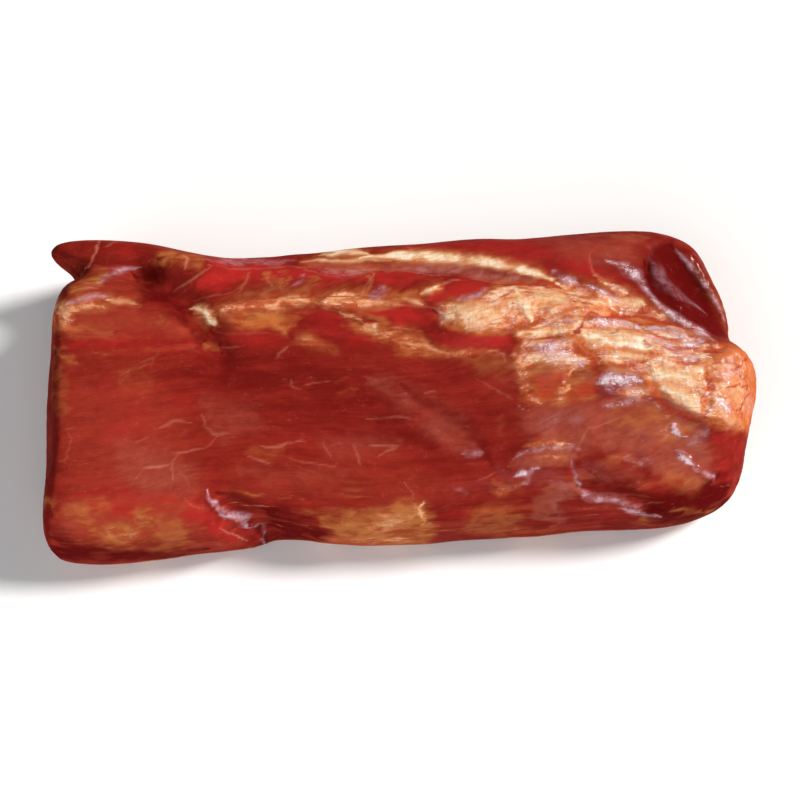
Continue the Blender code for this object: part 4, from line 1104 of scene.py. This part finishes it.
# each row: a layer, where it lies, its pattern, where the pattern starts and is full, and its strength
HIDDEN_ROWS = [
    ("tan", side - 0.4 * cut_end, streaks(44.0, 7.0, 87, 4) + 0.3 * patchy, -0.3, 0.4, 0.8),
    ("tan", front, streaks(40.0, 5.0, 87, 4) + 0.3 * patchy, 0.0, 0.5, 0.5),
    ("tan", underside, everywhere, 0.0, 1.0, 0.5),
    ("vivid", side - 0.6 * cut_end, streaks(50.0, 8.0, 85, 4), 0.0, 0.5, 0.6),
    ("vivid", front, streaks(36.0, 4.0, 78, 4), 0.1, 0.6, 0.4),
    ("dark_lean_and_shade", side - 0.5 * cut_end, streaks(40.0, 6.0, 84, 4) - 0.3 * patchy, 0.0, 0.6, 0.35),
    # a darker band round the rim of the cut end
    ("dark_lean_and_shade", end_rim, everywhere, 0.0, 1.0, 0.5),
    ("haze", flank * near_foot, streaks(30.0, 5.0, 88, 4), 0.0, 0.5, 0.4),
    ("fat", underside, patchy + 0.35 * drawn_out, 0.1, 0.9, 0.62),
    ("fat", side, 3.4 - height + 3.0 * patchy, 0.0, 3.0, 0.8),
    ("fat", side, streaks(18.0, 1.3, 89, 3), 0.66, 0.90, 0.45),
    ("silverskin", underside, patchy + 0.5 * drawn_out, -0.6, 0.4, 0.85),
    ("silverskin", flank, 0.8 * near_foot + patchy + 0.6 * drawn_out, 0.6, 1.1, 0.8),
    ("silverskin", front, streaks(20.0, 1.6, 76, 3), 0.50, 0.85, 0.5),
    ("smoke", flank + 0.4 * underside, 0.5 * near_foot + 0.8 * patchy + 0.6 * drawn_out, 0.3, 0.9, 0.7),
    ("smoke", underside, streaks(30.0, 5.0, 75, 4), -0.5, 0.3, 0.55),
    ("smoke", front, 0.6 * patchy + 0.8 * streaks(26.0, 2.6, 77, 4), 0.35, 0.9, 0.45),
    ("smoke", cut_end, patchy + 0.3 * drawn_out, 0.3, 0.8, 0.4),
    # painted sheen in streaks low on the flanks
    ("painted_sheen", flank * near_foot, streaks(24.0, 6.0, 83, 4), 0.3, 0.8, 0.4),
    ("threads", side, streaks(30.0, 1.2, 86, 2), 0.66, 0.9, 0.6),
]
added = {name: np.zeros(count) for name in layers}
for name, where, pattern, start, full, strength in HIDDEN_ROWS:
    added[name] += where * soft_step(pattern, start, full) * strength
for name, more in added.items():
    layers[name] = np.clip(np.maximum(layers[name], more), 0.0, 1.0)
print(len(HIDDEN_ROWS), "rows of noise on the hidden sides")

# %% [markdown]
# ## Relief of the tissue
# Each kind of tissue has its own surface. Lean is drawn into bundles along the grain, with finer
# fibres between them. Silverskin puckers into small wrinkles across the pull, and fat is soft and
# lumpy. The right end is livelier than the rest, because its sheets were left on and shrank in the
# smoke, and only a short slope at its foot is calm. We add these to the seams and move every point
# along its own direction, a few tenths of a millimetre, and then hold the result inside the solid's
# box and on the flat base.

# %% Heights of the tissue, in millimetres
CALM_SLOPE = [(604, 448), (668, 446), (672, 478), (606, 480)]


def crests(length, width, seed):
    """Thin wandering crests, spaced as told across the grain: 1 on a crest and 0 between them."""
    wandering = grain + 1.8 * np.column_stack([noise(place_mm / 6.0, seed + k) for k in range(3)])
    return (1.0 - np.abs(rough_noise(wandering / [length, width, width], seed + 3, 2))) ** 3


sheeted = np.clip(layers["silverskin"] + layers["fat"] + layers["painted_sheen"], 0.0, 1.0)
lively = soft_step(seen[:, 0], 430, 620) * facing
calm = soft_step(inside_area(seen, CALM_SLOPE), -8.0, 8.0) * facing
film_calms = 1.0 - 0.6 * layers["haze"]
folds = np.maximum(crests(15.0, 3.2, 111), 0.6 * crests(3.6, 8.0, 121))

bundles = 0.14 * streaks(42.0, 4.6, 91) + 0.06 * streaks(26.0, 2.1, 92)
strings = (0.04 + 0.04 * slanted) * streaks(18.0, 1.5, 93)
folded = (0.38 * sheeted * (0.25 + 0.75 * lively) + 0.12 * lively) * (folds - 0.4)
pucker = 0.26 * lively * film_calms * (1.0 - 0.8 * calm) * rough_noise(place_mm / [7.0, 3.8, 4.5], 95, 3)
lumps = 0.16 * layers["fat"] * rough_noise(place_mm / 3.2, 96, 2) + 0.25 * noise(place_mm / 11.0, 97)
standing = (0.07 * layers["fat"] + 0.05 * layers["silverskin"] + 0.05 * layers["threads"]
            - 0.20 * layers["window"])
raised = seams + bundles + strings + folded + pucker + lumps + standing
print("relief from", round(raised.min(), 2), "to", round(raised.max(), 2), "mm")

# %% Move the points
HAIR = 1e-5
off_base = soft_step(height, 0.4, 4.0)
moved = smooth_place + outward * (raised * MM * off_base)[:, None]
moved[:, :2] = np.clip(moved[:, :2], box_low[:2] + HAIR, box_high[:2] - HAIR)
moved[:, 2] = np.clip(moved[:, 2], 0.0, box_high[2] - HAIR)
meat.data.vertices.foreach_set("co", moved.ravel())
meat.data.shade_smooth()
print("lowest point at", moved[:, 2].min(), "m")

# %% [markdown]
# ## Hand the layers to the material
# A material can read a number that is stored at every point of the mesh, so each layer becomes an
# attribute. Three more go with them: how wet the surface is, where its folds run, and how lively it
# is. The level top of the right end is the wettest. Haze and the dark, shaded folds are dry, and the
# sides that face away have a weak, streaky shine.

# %% Wetness and attributes
level_top = soft_step(outward[:, 2], 0.55, 0.92) * (1.0 - soft_step(outward[:, 1], 0.20, 0.50))
turned_away = soft_step(-outward @ to_camera, 0.0, 0.3)
wet_side = 0.22 * turned_away * soft_step(streaks(20.0, 5.0, 99, 3), -0.2, 0.4)
wet = 0.55 * soft_step(place_mm[:, 0], 0, 75) * film_calms
wet += 0.30 * layers["silverskin"] + 0.5 * layers["painted_sheen"]
wet = np.clip(wet * (1.0 - layers["dark_lean_and_shade"]) * (1.0 - 0.8 * calm) * level_top + wet_side, 0.0, 1.0)

for name, values in {**layers, "wet": wet, "folds": folds, "lively": lively}.items():
    meat.data.attributes.new(name, "FLOAT", "POINT").data.foreach_set("value", values.astype(np.float32))
grain_now = meat.data.attributes.new("grain", "FLOAT_VECTOR", "POINT")
grain_now.data.foreach_set("vector", grain.astype(np.float32).ravel())
meat.data.update()
print(len(meat.data.attributes), "attributes on the mesh")

# %% [markdown]
# ## The material
# One material covers the whole fillet, because the kinds of tissue run into each other. It starts
# with lean meat and lays the other kinds over it one by one. Each layer's edge is broken up by fine
# noise in the shader, so that it is sharper than the mesh could hold. Smoked meat lets light in a
# little way, which a subsurface share gives, and its juices leave a thin clear coat where it is wet.
# A node is a small step of arithmetic, so we wrap each kind in a function and write the material
# like a sum.

# %% Node helpers
material = bpy.data.materials.new("smoked_meat")
material.use_nodes = True
nodes = material.node_tree.nodes
links = material.node_tree.links
shader = nodes["Principled BSDF"]


def feed(socket, value):
    """Puts a number or colour in a socket, or links another node's output to it."""
    if isinstance(value, bpy.types.NodeSocket):
        links.new(value, socket)
    else:
        socket.default_value = value


def stored(name, output="Fac"):
    """What the mesh stores under a name at each point of the surface."""
    node = nodes.new("ShaderNodeAttribute")
    node.attribute_name = name
    return node.outputs[output]


def maths(operation, first, second=0.0, third=0.0):
    """One step of arithmetic on two or three numbers."""
    node = nodes.new("ShaderNodeMath")
    node.operation = operation
    for socket, value in zip(node.inputs, (first, second, third)):
        feed(socket, value)
    return node.outputs[0]


def vector_maths(operation, first, second):
    """One step of arithmetic on two vectors."""
    node = nodes.new("ShaderNodeVectorMath")
    node.operation = operation
    feed(node.inputs[0], first)
    feed(node.inputs[1], second)
    return node.outputs[0]


def band(value, low, high, to_low=0.0, to_high=1.0):
    """A soft step of a number, from to_low to to_high."""
    node = nodes.new("ShaderNodeMapRange")
    node.interpolation_type = "SMOOTHSTEP"
    for socket, number in zip(node.inputs, (value, low, high, to_low, to_high)):
        feed(socket, number)
    return node.outputs["Result"]


def blend(under, over, share):
    """One colour laid over another by a share."""
    node = nodes.new("ShaderNodeMix")
    node.data_type = "RGBA"
    node.clamp_factor = True
    feed(node.inputs["Factor"], share)
    feed(node.inputs[6], under)
    feed(node.inputs[7], over)
    return node.outputs[2]


def noise_node(vector, detail, roughness=0.6):
    """A noise texture read at a vector."""
    node = nodes.new("ShaderNodeTexNoise")
    node.inputs["Scale"].default_value = 1.0
    node.inputs["Detail"].default_value = detail
    node.inputs["Roughness"].default_value = roughness
    feed(node.inputs["Vector"], vector)
    return node


print("helpers ready for", material.name)

# %% [markdown]
# ### Noise that follows the fibres
# The material's noise is read at the stored grain coordinate, so that it is drawn out along the
# fibres as the relief is. The coordinate is first bent in soft waves, because straight fibres would
# look like brushed metal. Each noise is named for what it does on the meat, and its size is in
# millimetres along, across and up.

# %% Tissue noise
WAVE_LENGTH = 7.0
WAVE_HEIGHT = 2.0

grain_here = stored("grain", "Vector")
waves = noise_node(vector_maths("MULTIPLY", grain_here, [1.0 / WAVE_LENGTH] * 3), 1.0)
waves = vector_maths("SUBTRACT", waves.outputs["Color"], [0.5] * 3)
waves = vector_maths("MULTIPLY", waves, [WAVE_HEIGHT] * 3)
wavy_grain = vector_maths("ADD", grain_here, waves)


def tissue_noise(size, detail=3.0, roughness=0.6):
    """Noise along the wavy grain, with features of the given sizes in millimetres."""
    scaled = vector_maths("MULTIPLY", wavy_grain, [1.0 / s for s in size])
    return noise_node(scaled, detail, roughness).outputs["Fac"]


fibre = tissue_noise((16.0, 0.9, 0.9))
thin_fibre = tissue_noise((18.0, 0.7, 0.7), 2.0)
fibre_broad = tissue_noise((44.0, 5.0, 5.0))
mottle = tissue_noise((5.0, 3.4, 3.4), 4.0)
speck = tissue_noise((1.6, 1.0, 1.0), 1.0)
droplet_glints = tissue_noise((1.2, 0.8, 0.8), 1.0)
patches = tissue_noise((6.0, 3.0, 3.0), 4.0)
broad_patches = tissue_noise((17.0, 8.0, 8.0), 2.0)
crinkle = tissue_noise((1.3, 3.2, 2.6))
marbling = tissue_noise((9.0, 4.0, 4.0), 3.0, 0.55)
gaps_in_sheet = tissue_noise((9.0, 2.8, 2.8))
cracks_in_sheet = tissue_noise((12.0, 3.4, 3.4))
lines_in_sheet = tissue_noise((9.0, 2.6, 2.6), 2.0)
print(len(nodes), "nodes so far")

# %% [markdown]
# ### Colours
# The colours were matched to the photograph and to its average in each patch, and are a little
# deeper than they look, because the light and the gloss lift them. The lean is a brownish red that
# the smoke has darkened, never a fresh pink.

# %% Colours of the tissues
LEAN = (0.178, 0.0104, 0.0070, 1.0)
LEAN_LIGHT = (0.262, 0.0190, 0.0120, 1.0)
LEAN_TAN = (0.365, 0.0450, 0.0225, 1.0)
LEAN_VIVID = (0.400, 0.0185, 0.0158, 1.0)
# dark red for the painted shade and for the darkest fibres
DARK_LEAN_AND_SHADE = (0.110, 0.0037, 0.0034, 1.0)
FILM = (0.350, 0.0820, 0.0500, 1.0)
SMOKED_BROWN = (0.320, 0.0580, 0.0180, 1.0)
SMOKED_FAT = (0.475, 0.1560, 0.0440, 1.0)
SHEET_ORANGE = (0.480, 0.0900, 0.0300, 1.0)
SHEET_PINK = (0.640, 0.2600, 0.2300, 1.0)
SHEET_GOLD = (0.740, 0.3100, 0.1350, 1.0)
SHEET_PALE = (0.840, 0.5700, 0.3700, 1.0)
CREAM_WARM = (0.760, 0.4500, 0.2300, 1.0)
CREAM = (0.860, 0.7100, 0.5400, 1.0)
RUST = (0.540, 0.1150, 0.0230, 1.0)
CRACK = (0.360, 0.0450, 0.0180, 1.0)
WINDOW = (0.330, 0.0160, 0.0090, 1.0)
WINDOW_LIGHT = (0.450, 0.0600, 0.0200, 1.0)
VIOLET_DEEP = (0.400, 0.1450, 0.1600, 1.0)
VIOLET = (0.600, 0.3900, 0.4500, 1.0)
GLINT = (0.920, 0.8200, 0.8500, 1.0)
THREAD = (0.600, 0.2100, 0.1350, 1.0)
print("lean", LEAN[:3], "to cream", CREAM[:3])


# %% Broken edges and thin lines
def edge(name, ragged, start, full, strength=1.0, streaky=0.6):
    """A layer's share, from where it starts to where it is full, with its edge broken up by mottling."""
    broken = maths("MULTIPLY_ADD", fibre, streaky, mottle)
    broken = maths("MULTIPLY_ADD", broken, 1.6 * ragged, 1.0 - 0.8 * ragged * (1.0 + streaky))
    share = maths("SUBTRACT", maths("MULTIPLY", stored(name), broken), start)
    share = maths("DIVIDE", share, full - start)
    share = maths("MINIMUM", maths("MAXIMUM", share, 0.0), 1.0)
    # the power keeps a pale layer's edge soft
    return maths("MULTIPLY", maths("POWER", share, 1.4), strength)


def line_where(value, level, width):
    """Thin curved lines where a noise crosses a level."""
    return band(maths("ABSOLUTE", maths("SUBTRACT", value, level)), width, 0.0)


# each layer's edge: how ragged it is, where it starts and is full, its strength, and how streaky it is
LOOKS = {
    "tan": (0.60, 0.0, 0.90, 0.95, 0.3),
    "vivid": (0.50, 0.0, 0.80, 0.95, 0.3),
    "haze": (0.90, 0.0, 0.95, 0.90, 0.3),
    "smoke": (0.60, 0.0, 0.90, 0.92),
    "silverskin": (0.60, 0.05, 0.80),
    "fat": (0.60, 0.03, 0.75, 0.95),
    "rust": (0.80, 0.0, 0.85, 0.85),
    "painted_sheen": (0.90, 0.0, 0.90, 0.85),
    "window": (0.80, 0.05, 0.65, 0.92),
    "threads": (0.70, 0.0, 0.95, 0.68),
}


def lay(under, over, name):
    """A colour laid over another where the named layer is, with the layer's own edge."""
    return blend(under, over, edge(name, *LOOKS[name]))


skin_share = maths("MAXIMUM", stored("silverskin"), maths("MAXIMUM", stored("painted_sheen"), stored("fat")))
print(len(LOOKS), "layers have an edge")

# %% [markdown]
# ### Lean and smoked fat
# Lean isn't one red. Light and dark fibres lie side by side in broad and thin strands, and a little
# marbling runs through them. Over it come the dried, bright and hazy parts, the dark parts of painted
# shade, and then the orange fat.

# %% Lean and smoked fat
lean_share = maths("MULTIPLY_ADD", fibre, 0.35, maths("MULTIPLY", fibre_broad, 0.8))
lean_share = maths("ADD", lean_share, maths("MULTIPLY", mottle, 0.4))
lean = blend(LEAN, LEAN_LIGHT, band(lean_share, 0.58, 1.00))
lean = lay(lean, LEAN_TAN, "tan")
lean = lay(lean, LEAN_VIVID, "vivid")
lean = lay(lean, FILM, "haze")
# painted shade over a darker lean, from the dark layer; the next line darkens the thin fibres
lean = blend(lean, DARK_LEAN_AND_SHADE, band(stored("dark_lean_and_shade"), 0.0, 0.9))
lean = blend(lean, DARK_LEAN_AND_SHADE, band(thin_fibre, 0.50, 0.34, 0.0, 0.10))
veins = maths("MULTIPLY", line_where(marbling, 0.50, 0.008), band(mottle, 0.48, 0.62))
lean = blend(lean, THREAD, maths("MULTIPLY", veins, 0.15))
both_patches = maths("ADD", patches, broad_patches)
colour = lay(lean, blend(SMOKED_BROWN, SMOKED_FAT, band(both_patches, 0.80, 1.15)), "smoke")
print(len(nodes), "nodes so far")

# %% [markdown]
# ### The sheets
# A sheet of silverskin is orange where it is thin, gold where it is thicker and pale on its crests,
# where the paleness is partly painted highlight. Its folds hold rust, fine cracks and pale lines run
# along it, and small holes show the lean. Cream fat lies over it, then the rusty lines, and then the
# painted violet sheen.

# %% Silverskin, cream fat, rust and painted sheen
folds_now = stored("folds")
tint = maths("MULTIPLY_ADD", both_patches, 2.4, maths("MULTIPLY", folds_now, 0.4))
tint = maths("ADD", maths("SUBTRACT", tint, 2.52), stored("silverskin"))
sheet = blend(SHEET_ORANGE, SHEET_GOLD, band(tint, 0.50, 0.95))
# paler where the tint is high, which includes the fold crests: partly painted highlight
sheet = blend(sheet, SHEET_PALE, band(maths("MULTIPLY_ADD", fibre, 0.6, tint), 1.30, 1.75))
pink = maths("MULTIPLY", band(maths("ADD", mottle, crinkle), 1.00, 1.16),
             maths("MULTIPLY_ADD", stored("lively"), 0.65, 0.15))
sheet = blend(sheet, SHEET_PINK, pink)
sheet = blend(sheet, RUST, maths("MULTIPLY", band(folds_now, 0.22, 0.04), 0.6))
cracks = maths("MULTIPLY", line_where(cracks_in_sheet, 0.50, 0.022), band(mottle, 0.40, 0.56))
sheet = blend(sheet, CRACK, maths("MULTIPLY", cracks, 0.75))
pale_lines = maths("MULTIPLY", line_where(lines_in_sheet, 0.46, 0.018), band(patches, 0.44, 0.58))
sheet = blend(sheet, CREAM, maths("MULTIPLY", pale_lines, 0.7))
holes = band(gaps_in_sheet, 0.36, 0.50, 0.25, 0.96)
colour = blend(colour, sheet, maths("MULTIPLY", edge("silverskin", *LOOKS["silverskin"]), holes))

cream = blend(SHEET_GOLD, CREAM_WARM, band(stored("fat"), 0.20, 0.55))
thick_fat = maths("MULTIPLY_ADD", stored("fat"), 0.8, maths("ADD", fibre, patches))
cream = blend(cream, CREAM, band(thick_fat, 1.45, 1.85))
colour = lay(colour, cream, "fat")
colour = lay(colour, RUST, "rust")
# painted violet sheen laid over the colour
violet = blend(VIOLET_DEEP, VIOLET, band(maths("MULTIPLY_ADD", crinkle, 0.4, mottle), 0.58, 0.80))
colour = lay(colour, violet, "painted_sheen")
print(len(nodes), "nodes so far")

# %% [markdown]
# ### Glints, windows and threads
# The lamp's reflection on wet, wrinkled skin breaks into glints far smaller than the mesh can hold,
# so they are painted as pale specks: on the lips of the folds, strayed over the sheets, and as small
# beads on the painted violet sheen. They show only where the meat is wet. The dark windows and the
# threads lie on top of it all.

# %% Glints, windows and threads
lively_now = stored("lively")
glitter = band(maths("MULTIPLY_ADD", speck, 0.7, crinkle), 0.84, 0.98)
lip_glitter = maths("MULTIPLY", maths("MULTIPLY_ADD", glitter, 0.6, 0.4), edge("painted_sheen", 0.60, 0.50, 0.90))
stray_glitter = maths("MULTIPLY", skin_share, band(patches, 0.50, 0.60))
stray_glitter = maths("MULTIPLY", stray_glitter, band(speck, 0.58, 0.66))
stray_glitter = maths("MULTIPLY", stray_glitter, maths("MULTIPLY_ADD", lively_now, 0.65, 0.10))
# bead glints: small painted highlights on the painted sheen
bead_glints = maths("MULTIPLY", band(stored("painted_sheen"), 0.25, 0.60), lively_now)
bead_glints = maths("MULTIPLY", band(droplet_glints, 0.57, 0.66, 0.0, 0.75), bead_glints)
sparkle = maths("MAXIMUM", maths("MAXIMUM", lip_glitter, stray_glitter), bead_glints)
colour = blend(colour, GLINT, maths("MULTIPLY", sparkle, stored("wet")))
window_light = maths("MULTIPLY", stored("smoke"), band(fibre, 0.30, 0.62, 0.4, 1.0))
colour = lay(colour, blend(WINDOW, WINDOW_LIGHT, window_light), "window")
colour = lay(colour, THREAD, "threads")
feed(shader.inputs["Base Color"], colour)
print(len(nodes), "nodes for the colour")

# %% [markdown]
# ### Gloss, softness and fine bump
# A wet surface mirrors the lamp in small sharp points, so the coat is strong where the meat is wet
# and weak on the dry, smoked eye muscle. The bump holds only what is finer than the mesh.

# %% Gloss, softness and bump
SHADER_VALUES = {
    "Coat Roughness": 0.08,
    "Coat IOR": 1.42,
    "IOR": 1.05,
    "Subsurface Weight": 0.18,
    "Subsurface Radius": (1.0, 0.28, 0.14),
    "Subsurface Scale": 0.0016,
}
BUMP_STRENGTH = 0.8
BUMP_HEIGHT = 0.0003

for name, value in SHADER_VALUES.items():
    shader.inputs[name].default_value = value
shine = maths("MULTIPLY", stored("wet"), band(mottle, 0.30, 0.60, 0.45, 1.0))
dull = maths("MULTIPLY", stored("dark_lean_and_shade"), 0.25)
feed(shader.inputs["Roughness"], maths("ADD", band(shine, 0.0, 0.9, 0.55, 0.26), dull))
feed(shader.inputs["Coat Weight"], shine)

lean_bump = maths("MULTIPLY_ADD", thin_fibre, 0.4, maths("MULTIPLY", speck, 0.2))
skin_bump = maths("SUBTRACT", maths("MULTIPLY_ADD", speck, 0.3, crinkle), 0.65)
skin_bump = maths("MULTIPLY", skin_bump, skin_share)
bump = nodes.new("ShaderNodeBump")
bump.inputs["Strength"].default_value = BUMP_STRENGTH
bump.inputs["Distance"].default_value = BUMP_HEIGHT
feed(bump.inputs["Height"], maths("MULTIPLY_ADD", skin_bump, 1.7, lean_bump))
feed(shader.inputs["Normal"], bump.outputs["Normal"])
feed(shader.inputs["Coat Normal"], bump.outputs["Normal"])
print(len(nodes), "nodes in the material")

# %% [markdown]
# ## Put the meat in the solid's place
# The dressed fillet now gets its material. It stands in for the plain solid, which is hidden, and
# rides on the only body, because food has no joints.

# %% Stand in for the solid
meat.data.materials.clear()
meat.data.materials.append(material)
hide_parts("pork_fillet")
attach(meat, "root")
print(meat.name, "rides on the root")

# %% [markdown]
# ## Table and light
# The photograph's light comes from the right and a little from behind: the silverskin at that end
# sparkles, and the rest is calm. A sun with a wide disc does that, and because it is far away it
# lights the left end and the table as much as the right end. A weak, wide lamp in front fills the
# shadows without putting a shine on the flat top, and the pale table and a dim room do the rest.

# %% Lamps
MEAT_MIDDLE = (0.0, 0.0, 0.03)


def lamp(name, kind, direction, distance, power, hue):
    """A lamp of a kind that looks at the fillet from the given direction."""
    light = bpy.data.lights.new(name, kind)
    light.energy = power
    light.color = hue
    made = bpy.data.objects.new(name, light)
    aim = Vector(direction).normalized()
    made.location = Vector(MEAT_MIDDLE) + aim * distance
    made.rotation_euler = aim.to_track_quat("Z", "Y").to_euler()
    bpy.context.scene.collection.objects.link(made)
    return light


key = lamp("key lamp", "SUN", (0.70, 0.20, 0.73), 1.0, 4.0, (1.0, 0.98, 0.95))
key.angle = np.radians(15.0)
fill = lamp("fill lamp", "AREA", (-0.35, -0.85, 0.75), 1.7, 23.0, (0.98, 0.99, 1.0))
fill.size = 2.2
print("lamps:", key.name, "and", fill.name)

# %% Table and room
TABLE_HALF = 6.0
TABLE_DROP = 0.0002
ROOM_LIGHT = 0.07

table_mesh = bpy.data.meshes.new("table")
table_mesh.from_pydata([(-TABLE_HALF, -TABLE_HALF, 0), (TABLE_HALF, -TABLE_HALF, 0),
                        (TABLE_HALF, TABLE_HALF, 0), (-TABLE_HALF, TABLE_HALF, 0)], [], [(0, 1, 2, 3)])
table = bpy.data.objects.new("table", table_mesh)
table.location.z = -TABLE_DROP
bpy.context.scene.collection.objects.link(table)
table_paint = bpy.data.materials.new("pale_table")
table_paint.use_nodes = True
table_shader = table_paint.node_tree.nodes["Principled BSDF"]
table_shader.inputs["Base Color"].default_value = (0.88, 0.88, 0.88, 1.0)
table_shader.inputs["Roughness"].default_value = 0.9
table_shader.inputs["Specular IOR Level"].default_value = 0.1
table_mesh.materials.append(table_paint)

room = bpy.data.worlds.new("room")
room.use_nodes = True
background = room.node_tree.nodes["Background"]
background.inputs["Color"].default_value = (0.97, 0.98, 1.0, 1.0)
background.inputs["Strength"].default_value = ROOM_LIGHT
bpy.context.scene.world = room
bpy.context.scene.view_settings.view_transform = "Standard"
bpy.context.scene.view_settings.look = "None"
print("table", 2 * TABLE_HALF, "m wide, just under the meat")

# %% [markdown]
# ## The solid's size
# The last cell prints the solid's box.

# %% Size of the solid
print("solid box", np.round(solid_box, 4).tolist())
